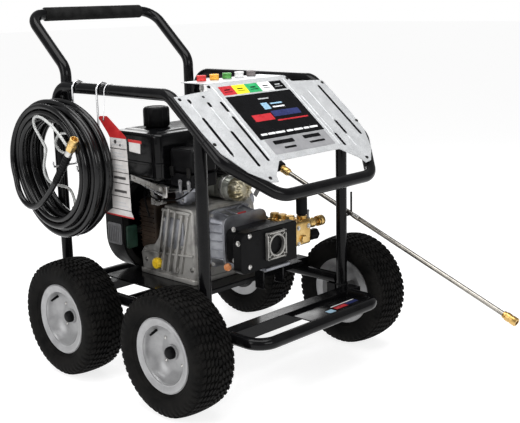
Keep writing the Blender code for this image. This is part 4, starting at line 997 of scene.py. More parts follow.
def roundedSlab(box, r, low, high, edge, toPlace, steps=8, turns=4):
    # A rounded rectangle carried from low to high with a quarter-round of the edge radius at both ends.
    q = np.linspace(0, np.pi / 2, turns + 1)
    rings = [inset(box, edge * (1 - math.sin(t)), r, toPlace, low + edge * (1 - math.cos(t)), steps) for t in q]
    rings += [inset(box, edge * (1 - math.cos(t)), r, toPlace, high - edge * (1 - math.sin(t)), steps) for t in q]
    return loft(rings)


def alongTilt(distance, side, y):
    # A place by its way up the tilted cylinder, its offset across it, and y.
    s, c = math.sin(crankSet["tilt"]), math.cos(crankSet["tilt"])
    return np.array([crankSet["x"] + distance * s + side * c, y, crankSet["z"] + distance * c - side * s])


def tiltPlace(a, b, c):
    # (a, b, c) with c up the tilted cylinder: x = x0 + c sin t + a cos t, z = z0 + c cos t - a sin t.
    s, k = math.sin(crankSet["tilt"]), math.cos(crankSet["tilt"])
    return crankSet["x"] + c * s + a * k, b, crankSet["z"] + c * k - a * s


def helix(start, end, radius, turns, wire, steps=12):
    # A coil spring: the centre moves from start to end while the wire circles it.
    u, v, w = basis(np.asarray(end, float) - start)
    t = np.linspace(0, 1, round(turns * steps) + 1)[:, None]
    a = t * turns * 2 * np.pi
    path = np.asarray(start) * (1 - t) + np.asarray(end) * t + radius * (np.cos(a) * u + np.sin(a) * v)
    return sweep(path, wire, 8)


def makeCrankcase(s):
    # The casting's side view: low at the rear, where a brown block of painted shade fills the dark recess, and
    # leaning forward to the top.
    outline = [(-0.066, s["plateZ"] + 0.012), (0.16, s["plateZ"] + 0.012), (0.166, 0.318), (0.15, 0.338),
               (0.104, 0.35), (0.086, 0.372), (0.052, 0.472), (-0.058, 0.472), (-0.066, 0.462)]
    wall = extruded(outline, -0.146, 0.088, alongX)
    flange = roundedSlab((-0.15, 0.115, -0.07, 0.17), 0.012, s["plateZ"], s["plateZ"] + 0.014, 0.002, alongZ)
    shoulder = extruded([(0.085, 0.258), (0.114, 0.27), (0.114, 0.33), (0.098, 0.455), (0.06, 0.468)], -0.062,
                        0.15, alongY)
    piece("crankcaseCasting", merged(wall, flange, shoulder), "castAluminium",
          replaces=("crankcase",), bevel=0.0045, bevelSteps=3)
    ribs = []
    for k, (y, top, deep) in enumerate([(-0.052, 0.452, 0.007), (-0.03, 0.455, 0.01), (-0.006, 0.462, 0.012),
                                        (0.02, 0.468, 0.013), (0.046, 0.462, 0.01)]):
        low = np.array([-0.146, y + 0.04, 0.282])
        high = np.array([-0.146, y, top])
        wide = 0.0045 if k % 2 else 0.003
        outline = [(low[1] - wide, low[2]), (low[1] + wide, low[2]), (high[1] + wide * 0.8, high[2]),
                   (high[1] - wide * 0.8, high[2])]
        ribs.append(extruded(outline, -0.1462 - deep, -0.145, alongX))
    ribs.append(extruded([(-0.064, 0.338), (0.148, 0.322), (0.148, 0.327), (-0.064, 0.344)], -0.1535, -0.145,
                         alongX))
    ribs.append(extruded([(-0.06, 0.456), (0.056, 0.456), (0.054, 0.464), (-0.06, 0.464)], -0.154, -0.145,
                         alongX))
    piece("crankcaseRibs", merged(*ribs), "castAluminium", bevel=0.0014)
    boss = lathe([(0, 0), (0.0185, 0), (0.0165, 0.003), (0.014, 0.004), (0.014, 0.0072), (0, 0.0072)],
                 (-1, 0, 0), (-0.143, 0.078, 0.3), 32)
    bellows = lathe([(0, 0.0004), (0.0128, 0.0004), (0.0155, 0.0022), (0.0155, 0.0135), (0.014, 0.0168),
                     (0.0085, 0.0176), (0.008, 0.0196), (0, 0.0196)], (-1, 0, 0),
                    (-0.1503, 0.078, 0.3), 96, wave=lambda a: 1 + 0.035 * np.tanh(2.5 * np.cos(12 * a)))
    piece("oilCapKnob", bellows, "knobYellow", "oil_cap", ("oil_cap",), smooth=40)
    drain = lathe([(0, 0), (0.012, 0), (0.011, 0.004), (0, 0.004)], (-1, 0, 0), (-0.146, 0.01, 0.292), 24)
    plate = roundedSlab((-0.03, 0.06, 0.352, 0.44), 0.012, -0.1505, -0.145, 0.0015, alongX)
    piece("crankcaseBosses", merged(boss, drain), "castAluminium")
    piece("sideCover", plate, "smoothAluminium")
    bolts = [(-0.1505, y, z) for y in (-0.022, 0.052) for z in (0.36, 0.432)]
    bolts += [(-0.146, -0.055, 0.3), (-0.15, 0.01, 0.292), (-0.146, 0.14, 0.3)]
    piece("caseBolts", many(hexBolt((-1, 0, 0), 0.0045, 0.0038), bolts), "brightSteel")
    feet = [(x, y, s["plateZ"] + 0.014) for x in (-0.138, 0.103) for y in (-0.052, 0.152)]
    stud = merged(hexBolt((0, 0, 1), 0.0068, 0.006),
                  lathe([(0, 0.005), (0.0038, 0.005), (0.0038, 0.012), (0.003, 0.013), (0, 0.013)], (0, 0, 1),
                        (0, 0, 0), 16))
    piece("footBolts", many(stud, feet), "brightSteel")
    # A dark brown block and slats standing in for the shade in the recess behind the crankcase: painted shade.
    block = roundedSlab((-0.142, 0.06, 0.1, 0.1695), 0.01, 0.33, 0.474, 0.006, alongZ)
    piece("recessShadeBlock", block, "recessShadeBrown")
    slats = [extruded([(0.104, z), (0.166, z), (0.166, z + 0.003), (0.104, z + 0.003)], -0.146, -0.141, alongX)
             for z in np.arange(0.352, 0.468, 0.014)]
    piece("recessShadeSlats", merged(*slats), "recessShadeBrown", bevel=0.0008)


def makeCylinder(s):
    # Thin plates across the tilted barrel, each a rounded rectangle; the head and its cover are thicker.
    shapes = [loft([inset((-0.04, 0.04, -0.01, 0.11), 0, 0.02, tiltPlace, d) for d in (0.118, 0.222)])]
    for k in range(11):
        d = 0.137 + 0.0082 * k
        box = (-0.052, 0.052, s["boreY"] - 0.07 + 0.002 * (k % 2), s["boreY"] + 0.07)
        shapes.append(roundedSlab(box, 0.014, d, d + 0.003, 0.0009, tiltPlace, 5, 2))
    piece("cylinderFins", merged(*shapes), "finBlack", replaces=("cylinder",))
    head = [roundedSlab((-0.05, 0.05, s["boreY"] - 0.066, s["boreY"] + 0.066), 0.012, 0.2262, 0.24, 0.002,
                        tiltPlace)]
    head += [roundedSlab((-0.044 + 0.014 * k, -0.04 + 0.014 * k, s["boreY"] - 0.058, s["boreY"] + 0.058), 0.0015,
                         0.238, 0.2505, 0.001, tiltPlace, 2, 2) for k in range(7)]
    piece("cylinderHead", merged(*head), "castAluminium")
    cover = roundedSlab((0.006, 0.046, s["boreY"] - 0.046, s["boreY"] + 0.04), 0.012, 0.2405, 0.2615, 0.006,
                        tiltPlace)
    piece("valveCover", cover, "mouldedBlack")
    top = alongTilt(0.2505, -0.02, s["boreY"] - 0.034)
    way = alongTilt(1, 0, 0) - alongTilt(0, 0, 0)
    plug = lathe([(0, -0.014), (0.0055, -0.014), (0.0055, -0.002), (0, -0.002)], way, top, 20)
    piece("sparkPlug", plug, "labelWhite")
    lead = smoothPath([top + way * 0.008, top + way * 0.012 + (-0.012, -0.006, 0), (-0.01, -0.02, 0.56),
                       (-0.058, 0.006, 0.534), (-0.07, 0.06, 0.52), (-0.075, 0.15, 0.505)], 50)
    lead = merged(sweep(lead, 0.0032, 12), lathe([(0, -0.003), (0.0078, -0.003), (0.0082, 0.004), (0.007, 0.013),
                                                  (0, 0.015)], way, top, 20))
    piece("plugLead", lead, "mouldedBlack")
    ringAt = (0.028, -0.0705, 0.432)
    ring = lathe([(0.013, 0), (0.029, 0), (0.03, 0.003), (0.03, 0.012), (0.027, 0.014), (0.024, 0.0085),
                  (0.018, 0.0085), (0.016, 0.013), (0.013, 0.013)],
                 (0, -1, 0), ringAt, 48, closed=True)
    webs = [extruded([(-0.0018, 0.015), (0.0018, 0.015), (0.0018, 0.026), (-0.0018, 0.026)], 0.004, 0.0115,
                     turnedAboutY(ringAt, q, -1))
            for q in np.radians(np.arange(0, 360, 45))]
    piece("camCover", merged(ring, *webs), "smoothAluminium", bevel=0.0006)
    strut = np.linspace((0.135, -0.03, 0.462), (0.208, -0.03, 0.545), 2)
    bar = extruded([(-0.008, -0.0015), (0.008, -0.0015), (0.008, 0.0015), (-0.008, 0.0015)], 0, 1,
                   lambda a, b, c: (strut[0][0] + (strut[1][0] - strut[0][0]) * c - a * 0.75, strut[0][1] + b,
                                    strut[0][2] + (strut[1][2] - strut[0][2]) * c + a * 0.66))
    piece("muffStrut", bar, "leverGrey", bevel=0.0005)


fanSet = {"x": crankSet["x"], "z": crankSet["z"], "low": (-0.205, 0.2579), "high": (0.165, 0.545), "front": 0.1705,
          "back": 0.255, "wall": 0.003, "edge": 0.01, "corner": 0.11, "slots": 14}


def makeFan(s):
    # A closed cup with a round rear edge, the starter cover lathed on its axis, and its vents.
    low, high, corner = s["low"], s["high"], s["corner"]
    box = (low[0], high[0], low[1], high[1])
    front, back, wall, edge = (s[k] for k in ("front", "back", "wall", "edge"))
    q = np.linspace(0, np.pi / 2, 6)
    rings = [inset(box, wall, corner, alongY, back - wall, 16), inset(box, wall, corner, alongY, front, 16),
             inset(box, 0, corner, alongY, front, 16)]
    rings += [inset(box, edge * (1 - math.cos(t)), corner, alongY, back - edge * (1 - math.sin(t)), 16) for t in q]
    piece("fanHousing", loft(rings), "mouldedBlack", replaces=("fan_housing",), smooth=45)
    cover = [(0, 0.29), (0.024, 0.29), (0.028, 0.2885), (0.03, 0.284), (0.06, 0.283), (0.07, 0.28),
             (0.08, 0.27), (0.085, 0.26), (0.085, 0.2545), (0, 0.2545)]
    slots = []
    for n in range(s["slots"]):
        q0 = 2 * math.pi * n / s["slots"]
        outline = roundedRectangle(0.038, 0.064, -0.0032, 0.0032, 0.003, 4)
        slots.append(extruded(outline, 0.2815, 0.2846, turnedAboutY((s["x"], 0, s["z"]), q0)))
    piece("recoilCover", lathe(cover, (0, 1, 0), (s["x"], 0, s["z"]), 72), "mouldedBlack",
          smooth=40)
    piece("recoilSlots", merged(*slots), "finBlack")
    screws = [(s["x"] + 0.0775 * math.cos(q), 0.2735, s["z"] + 0.0775 * math.sin(q))
              for q in np.radians((45, 135, 225, 315))]
    piece("recoilScrews", many(hexBolt((0, 1, 0), 0.0042, 0.0036), screws), "brightSteel")
    # The light vent on the housing's left side, and the green guard beside it.
    fins = [extruded([(0.181 + 0.0085 * k, 0.352), (0.185 + 0.0085 * k, 0.352), (0.185 + 0.0085 * k, 0.402),
                      (0.181 + 0.0085 * k, 0.402)], -0.2085, -0.2035, alongX)
            for k in range(7)]
    rim = roundedSlab((0.177, 0.24, 0.346, 0.408), 0.006, -0.2062, -0.2035, 0.001, alongX)
    piece("sideVent", merged(rim, *fins), "leverGrey", bevel=0.0005)
    guard = [inset((low[0] + 0.003, high[0] - 0.003, low[1] + 0.003, high[1] - 0.003), d, 0.107, alongY, y, 16)
             for d, y in ((0, 0.1665), (0, 0.1755), (0.016, 0.1755), (0.016, 0.1665))]
    piece("fanGuardRing", loft(guard, closed=True), "finBlack")
    patch = roundedSlab((-0.198, -0.16, 0.336, 0.402), 0.006, 0.16, 0.167, 0.0015, alongY)
    piece("greenGuard", patch, "shroudGreen")


tankSet = {"box": (-0.2, 0.2, 0.005, 0.205), "low": 0.5455, "high": 0.685, "seam": 0.596, "corner": 0.03,
           "capAt": (-0.106, 0.115)}


def makeTank(s):
    # Rings of a rounded rectangle, drawn in for the round lower edge, the seam, the upper edge and the dished top.
    box, low, high, seam, corner, cap = (s[k] for k in ("box", "low", "high", "seam", "corner", "capAt"))
    q = np.linspace(0, np.pi / 2, 6)
    rings = [inset(box, 0.016 * (1 - math.sin(t)) + 0.0035, corner, alongZ, low + 0.016 * (1 - math.cos(t)), 10)
             for t in q]
    rings += [inset(box, 0.003, corner, alongZ, seam - 0.0045, 10),
              inset(box, 0.0006, corner, alongZ, seam - 0.0035, 10), inset(box, 0, corner, alongZ, seam, 10),
              inset(box, 0.0006, corner, alongZ, seam + 0.0035, 10),
              inset(box, 0.003, corner, alongZ, seam + 0.0045, 10)]
    rings += [inset(box, 0.01 * (1 - math.cos(t)) + 0.003, corner, alongZ,
                    high - 0.0065 - 0.01 * (1 - math.sin(t)), 10) for t in q]
    rings += [inset(box, d, corner, alongZ, z, 10)
              for d, z in ((0.026, high - 0.0045), (0.03, high - 0.002), (0.04, high - 0.0012))]
    neck = lathe([(0.0245, -0.003), (0.034, -0.003), (0.031, 0.001), (0.0282, 0.0035), (0.0282, 0.0088),
                  (0.0245, 0.0088)], (0, 0, 1), (*cap, high), 48, closed=True)
    piece("fuelTank", merged(loft(rings), neck), "tankBlack", replaces=("fuel_tank",),
          smooth=45)
    lobes = lambda a: 1 - 0.048 * (0.5 + 0.5 * np.tanh(6 * np.cos(8 * a)))
    knurl = lambda a: lobes(a) * (1 + 0.006 * np.sign(np.sin(64 * a)))
    top = lathe([(0.03, 0.0022), (0.036, 0.0022), (0.0378, 0.0045), (0.0378, 0.047), (0.0366, 0.052),
                 (0.0335, 0.0555), (0.027, 0.0568), (0.0255, 0.0552), (0.012, 0.0545), (0, 0.0545)], (0, 0, 1),
                 (*cap, high), 128, wave=knurl)
    inside = lathe([(0.03, 0.0022), (0.0296, 0.01), (0, 0.01)], (0, 0, 1), (*cap, high), 64)
    piece("fuelCap", merged(top, inside), "mouldedBlack", "fuel_cap", ("fuel_cap",), smooth=42)
    straps = [roundedSlab((x, x + 0.018, 0.012, 0.05), 0.003, 0.542, 0.547, 0.001, alongZ, 3, 2)
              for x in (-0.185, 0.167)]
    piece("tankFeet", merged(*straps), "powderBlack")


airCleanerSet = {"low": (-0.165, -0.1, 0.538), "high": (-0.075, 0.003, 0.64), "corner": 0.014, "lid": 0.574}


def makeAirCleaner(s):
    # A ribbed lid over a lower box, a gap of 1.5 mm between them, and the carburettor behind.
    low, high = s["low"], s["high"]
    box = (low[0], high[0], low[1], high[1])
    lower = roundedSlab(box, s["corner"], low[2], s["lid"], 0.003, alongZ)
    upper = roundedSlab((box[0] + 0.001, box[1] - 0.001, box[2] + 0.001, box[3] - 0.001), 0.014, 0.5755, high[2],
                        0.01, alongZ)
    ribs = [roundedSlab((-0.158 + 0.0125 * k, -0.1535 + 0.0125 * k, low[1] + 0.012, high[1] - 0.012), 0.0018,
                        high[2] - 0.0015, high[2] + 0.0016, 0.0008, alongZ, 2, 2) for k in range(7)]
    piece("airCleaner", merged(lower, upper, *ribs), "mouldedBlack",
          replaces=("air_cleaner",))
    clips = [roundedSlab((y, y + 0.014, 0.566, 0.592), 0.002, -0.169, -0.164, 0.001, alongX, 3, 2)
             for y in (-0.088, -0.02)]
    piece("airCleanerClips", merged(*clips), "finBlack")
    body = merged(roundedSlab((-0.122, -0.078, -0.012, 0.034), 0.008, 0.478, 0.5175, 0.004, alongZ),
                  lathe([(0, 0), (0.02, 0), (0.021, 0.004), (0.019, 0.022), (0.01, 0.026), (0, 0.026)], (0, 0, 1),
                        (-0.102, 0.012, 0.4735), 32),
                  lathe([(0, 0), (0.017, 0), (0.017, 0.024), (0, 0.024)], (0, 0, 1), (-0.105, -0.028, 0.5155), 32))
    piece("carburettor", body, "smoothAluminium", smooth=40)
    screws = [(-0.122, y, z) for y in (-0.004, 0.026) for z in (0.488, 0.508)]
    piece("carburettorScrews", many(hexBolt((-1, 0, 0), 0.0034, 0.003, False), screws), "brightSteel")


controlSet = {"barFrom": (0.132, 0.549), "barTo": (-0.012, 0.528), "barHalf": 0.0085, "leverZ": 0.552,
              "levers": (("throttle", -0.045, 0.03), ("choke", -0.08, 0.024))}


def makeControls(s):
    # The long bright bar under the tank, with the governor's arm, springs and rods behind it.
    a, b = np.array(s["barFrom"]), np.array(s["barTo"])
    across = unit(np.array([-(b - a)[1], (b - a)[0]])) * s["barHalf"]
    bar = extruded([a + across, b + across, b - across, a - across], -0.1965, -0.194, alongX)
    fold = extruded([a - across, b - across, b - across * 0.8, a - across * 0.8], -0.1965, -0.178, alongX)
    end = roundedSlab((-0.022, -0.006, 0.508, 0.54), 0.004, -0.1972, -0.1935, 0.001, alongX, 4, 2)
    piece("controlBar", merged(bar, fold, end), "brightSteel", bevel=0.0006)
    bolts = [(-0.1972, *(a * (1 - t) + b * t)) for t in (0.1, 0.48, 0.86)]
    piece("controlBolts", many(hexBolt((-1, 0, 0), 0.0042, 0.0034), bolts), "brightSteel")
    arm = extruded([(0.04, 0.478), (0.048, 0.476), (0.026, 0.53), (0.02, 0.53)], -0.164, -0.162, alongX)
    shaft = lathe([(0, 0), (0.004, 0), (0.004, 0.02), (0, 0.02)], (-1, 0, 0), (-0.146, 0.044, 0.48), 16)
    rods = [sweep(np.linspace((-0.166, 0.026, 0.524), (-0.166, -0.044, 0.53), 4), 0.0011, 8),
            sweep(np.linspace((-0.1675, 0.03, 0.512), (-0.16, -0.066, 0.53), 4), 0.001, 8)]
    bracket = extruded([(0.06, 0.47), (0.094, 0.47), (0.094, 0.54), (0.086, 0.54), (0.078, 0.484),
                        (0.06, 0.48)], -0.158, -0.156, alongX)
    piece("governorArm", merged(arm, shaft, bracket, *rods), "brightSteel", bevel=0.0003)
    springs = [helix((-0.167, 0.034, 0.505), (-0.175, 0.104, 0.528), 0.0036, 14, 0.0007),
               helix((-0.161, 0.052, 0.486), (-0.163, 0.09, 0.512), 0.003, 10, 0.0006)]
    piece("governorSprings", merged(*springs), "chromedWire")
    wires = [sweep(smoothPath([(-0.16, 0.1, 0.53), (-0.172, 0.08, 0.5), (-0.168, 0.04, 0.492),
                               (-0.15, -0.02, 0.5), (-0.13, -0.06, 0.532)], 30), 0.0022, 10),
             sweep(smoothPath([(-0.115, 0.14, 0.52), (-0.15, 0.13, 0.5), (-0.158, 0.118, 0.47),
                               (-0.152, 0.112, 0.43)], 24), 0.0028, 10)]
    piece("controlCables", merged(*wires), "mouldedBlack")
    pivotZ = s["leverZ"]
    for name, y, length in s["levers"]:
        outline = np.vstack([arcPoints((y, pivotZ), 0.0068, 0, 180, 10),
                             [(y - 0.0032, pivotZ - length), (y, pivotZ - length - 0.0012),
                              (y + 0.0032, pivotZ - length)]])
        body = f"{name}_lever"
        piece(f"{name}LeverArm", extruded(outline, -0.169, -0.1653, alongX), "leverGrey", body,
              (f"{name}_lever",), bevel=0.0008)
        pin = lathe([(0, 0), (0.0036, 0), (0.0034, 0.0014), (0, 0.0018)], (-1, 0, 0), (-0.169, y, pivotZ), 20)
        piece(f"{name}LeverPin", pin, "brightSteel", body)


mufflerSet = {"at": (0.02, 0.026, 0.506), "grow": 1.16}


def makeMuffler(s):
    # Profiles (radius, along) lathed on one axis; the end is drawn into twelve flutes by a wave on its radius.
    at, grow = s["at"], s["grow"]
    profile = [(0, 0), (0.024, 0), (0.029, 0.0025), (0.0298, 0.006), (0.0298, 0.035), (0.029, 0.0362),
               (0.0298, 0.0374), (0.0298, 0.088), (0.0285, 0.0895), (0.0285, 0.0935)]
    shell = lathe([(r * grow, d) for r, d in profile + [(0, 0.0935)]], (0, -1, 0), at, 56,
                  wave=lambda a: 1 - 0.05 * np.cos(2 * a) ** 2)
    piece("mufflerShell", shell, "mufflerSkin", replaces=("muffler",), smooth=45)
    end = lathe([(r * grow, d) for r, d in [(0, 0.093), (0.0262, 0.093), (0.0272, 0.096), (0.0272, 0.118),
                                            (0.0262, 0.124), (0.0225, 0.131), (0.0165, 0.1342), (0.012, 0.1345),
                                            (0.0105, 0.13), (0, 0.13)]],
                (0, -1, 0), at, 144, wave=lambda a: 1 + 0.07 * np.tanh(3 * np.sin(12 * a)))
    piece("mufflerEnd", end, "heatedSteel", smooth=50)
    band = lathe([(r * grow, d) for r, d in [(0.029, 0.058), (0.0312, 0.058), (0.0316, 0.06), (0.0316, 0.068),
                                             (0.0312, 0.07), (0.029, 0.07)]], (0, -1, 0), at, 56, closed=True)
    pipe = sweep(bentPath([(0.02, 0.016, 0.51), (0.02, 0.034, 0.51), (0.038, 0.034, 0.52)], 0.012), 0.011, 24)
    piece("mufflerBand", merged(band, pipe), "brightSteel")
    piece("mufflerBolts", many(hexBolt((0, 0, 1), 0.004, 0.0034), [(0.02, -0.044, 0.5405)]), "brightSteel")


makeCrankcase(crankSet)
makeCylinder(crankSet)
makeFan(fanSet)
makeTank(tankSet)
makeAirCleaner(airCleanerSet)
makeControls(controlSet)
makeMuffler(mufflerSet)
print("stage: engine")


pumpSet = {"x": -0.015, "z": 0.38, "front": -0.25, "outletY": -0.215, "outletZ": 0.4, "inletZ": 0.365,
           "valveX": 0.1, "valveY": (-0.142, -0.172, -0.202)}


def makeBell(s):
    # Two rounded flanges with a narrowing, ribbed box between them.
    rings = []
    for y, half, high, r in ((-0.0704, 0.088, 0.082, 0.03), (-0.079, 0.088, 0.082, 0.03),
                             (-0.0815, 0.082, 0.075, 0.028), (-0.129, 0.074, 0.066, 0.024),
                             (-0.1312, 0.084, 0.073, 0.024), (-0.1397, 0.084, 0.073, 0.024)):
        rings.append(inset((s["x"] - half, s["x"] + half, s["z"] - high, s["z"] + high), 0, r, alongY, y, 8))
    ribs = []
    for z in (-0.048, -0.024, 0.0, 0.024, 0.048):
        outline = [(-0.131, 0.0), (-0.08, 0.0), (-0.08, 0.011), (-0.131, 0.006)]
        for side in (-1, 1):
            ribs.append(extruded(outline, s["z"] + z - 0.0016, s["z"] + z + 0.0016,
                                 lambda a, b, c, side=side: (s["x"] + side * (0.074 + b), a, c)))
    for x in (-0.05, -0.018, 0.018, 0.05):
        ribs.append(extruded([(-0.131, 0.06), (-0.08, 0.066), (-0.08, 0.078), (-0.131, 0.0705)],
                             s["x"] + x - 0.0016, s["x"] + x + 0.0016, lambda a, b, c: (c, a, s["z"] + b)))
    piece("bellHousing", merged(loft(rings), *ribs), "smoothAluminium",
          replaces=("bell_housing",), bevel=0.0009)
    bolts = [(s["x"] + sx * 0.074, -0.0815, s["z"] + sz * 0.068) for sx in (-1, 1) for sz in (-1, 1)]
    piece("bellBolts", many(hexBolt((0, -1, 0), 0.0048, 0.004), bolts), "brightSteel")
    piece("bellMark", roundedSlab((-0.04, -0.01, -0.139, -0.132), 0.002, 0.4515, 0.456, 0.001, alongZ, 4, 2),
          "tagRed")
    plug = lathe([(0, 0), (0.0105, 0), (0.011, 0.003), (0.01, 0.01), (0.007, 0.013), (0, 0.014)],
                 (-0.75, -0.65, 0), (-0.088, -0.139, 0.313), 28)
    piece("orangePlug", plug, "plugOrange")


def makePump(s):
    # A block and a face plate; the cover is a square ring and a round one joined by webs.
    rear = roundedSlab((-0.092, 0.075, 0.322, 0.42), 0.016, -0.205, -0.14, 0.004, alongY)
    outline = np.vstack([[(0.075, 0.322), (0.075, 0.428)], arcPoints((0.068, 0.424), 0.007, 0, 90, 4),
                         arcPoints((-0.118, 0.404), 0.027, 90, 180, 10),
                         arcPoints((-0.129, 0.336), 0.016, 180, 270, 8)])
    face = extruded(outline, -0.249, -0.22, alongY)
    piece("pumpBlock", rear, "pumpPaint", replaces=("pump_crankcase",), smooth=40)
    piece("pumpFace", face, "pumpPaint", bevel=0.0035, bevelSteps=3)
    turn = np.linspace(0, 2 * np.pi, 65)[:-1]
    half, depth = 0.0375, (-0.2502, -0.2601)
    square = []
    for a in turn:
        c, k = math.cos(a), math.sin(a)
        square.append(min(half / max(abs(c), 1e-6), half / max(abs(k), 1e-6), 0.0485))
    square = np.array(square)

    def ringAt(radii, y):
        # A ring of given radii at one y: x = x0 + r cos a, z = z0 + r sin a.
        return np.stack([s["x"] + radii * np.cos(turn), np.full_like(turn, y), s["z"] + radii * np.sin(turn)], -1)

    outer = loft([ringAt(square, depth[0]), ringAt(square, depth[1] + 0.001), ringAt(square - 0.001, depth[1]),
                  ringAt(square - 0.0048, depth[1]), ringAt(square - 0.0052, depth[0])], closed=True)
    inner = loft([ringAt(np.full(64, 0.032), depth[0]), ringAt(np.full(64, 0.0318), depth[1]),
                  ringAt(np.full(64, 0.027), depth[1]), ringAt(np.full(64, 0.0266), depth[0])], closed=True)
    webs = []
    for q0 in np.radians((22, 45, 68, 112, 135, 158, 202, 225, 248, 292, 315, 338)):
        outline = [(0.03, -0.0013), (0.0445, -0.0013), (0.0445, 0.0013), (0.03, 0.0013)]
        if min(abs(math.degrees(q0) % 90 - 45), 90) > 1:
            outline = [(0.03, -0.001), (0.037, -0.001), (0.037, 0.001), (0.03, 0.001)]
        webs.append(extruded(outline, depth[1] + 0.0012, depth[0], turnedAboutY((s["x"], 0, s["z"]), q0)))
    lugs = [lathe([(0, 0), (0.0062, 0), (0.006, 0.0086), (0, 0.0086)], (0, -1, 0),
                  (s["x"] + sx * 0.0325, -0.2505, s["z"] + sz * 0.0325), 20) for sx in (-1, 1) for sz in (-1, 1)]
    piece("pumpCoverFrame", merged(outer, inner, *webs, *lugs), "castAluminium",
          replaces=("pump_cover",), bevel=0.0004)
    screws = [(s["x"] + sx * 0.0325, -0.2588, s["z"] + sz * 0.0325) for sx in (-1, 1) for sz in (-1, 1)]
    piece("pumpCoverScrews", many(lathe([(0, 0.0012), (0.0018, 0.0012), (0.0019, 0.0024), (0.0036, 0.0022),
                                         (0.0038, 0), (0, 0)], (0, -1, 0), (0, 0, 0), 20), screws), "finBlack")
    ledge = roundedSlab((-0.056, 0.04, -0.256, -0.2), 0.004, 0.312, 0.3205, 0.0015, alongZ)
    piece("pumpFoot", ledge, "smoothAluminium")
    legs = merged(*[extruded([(-0.236, 0.2573), (-0.205, 0.2573), (-0.205, 0.313), (-0.236, 0.313)], x, x + 0.006,
                             alongX) for x in (-0.05, 0.028)])
    piece("pumpFootLegs", legs, "powderBlack", bevel=0.001)
    heads = [(-0.1115, -0.249, 0.421), (-0.113, -0.249, 0.337)]
    domed = lathe([(0, 0.0044), (0.004, 0.004), (0.0068, 0.0022), (0.0074, 0), (0, 0)], (0, -1, 0), (0, 0, 0), 24)
    piece("pumpBolts", many(domed, heads), "brightSteel")
    side = [(-0.145, -0.24, 0.406), (-0.092, -0.17, 0.424), (-0.092, -0.17, 0.336)]
    piece("pumpSideBolts", many(hexBolt((-1, 0, 0), 0.005, 0.0042), side), "brightSteel")


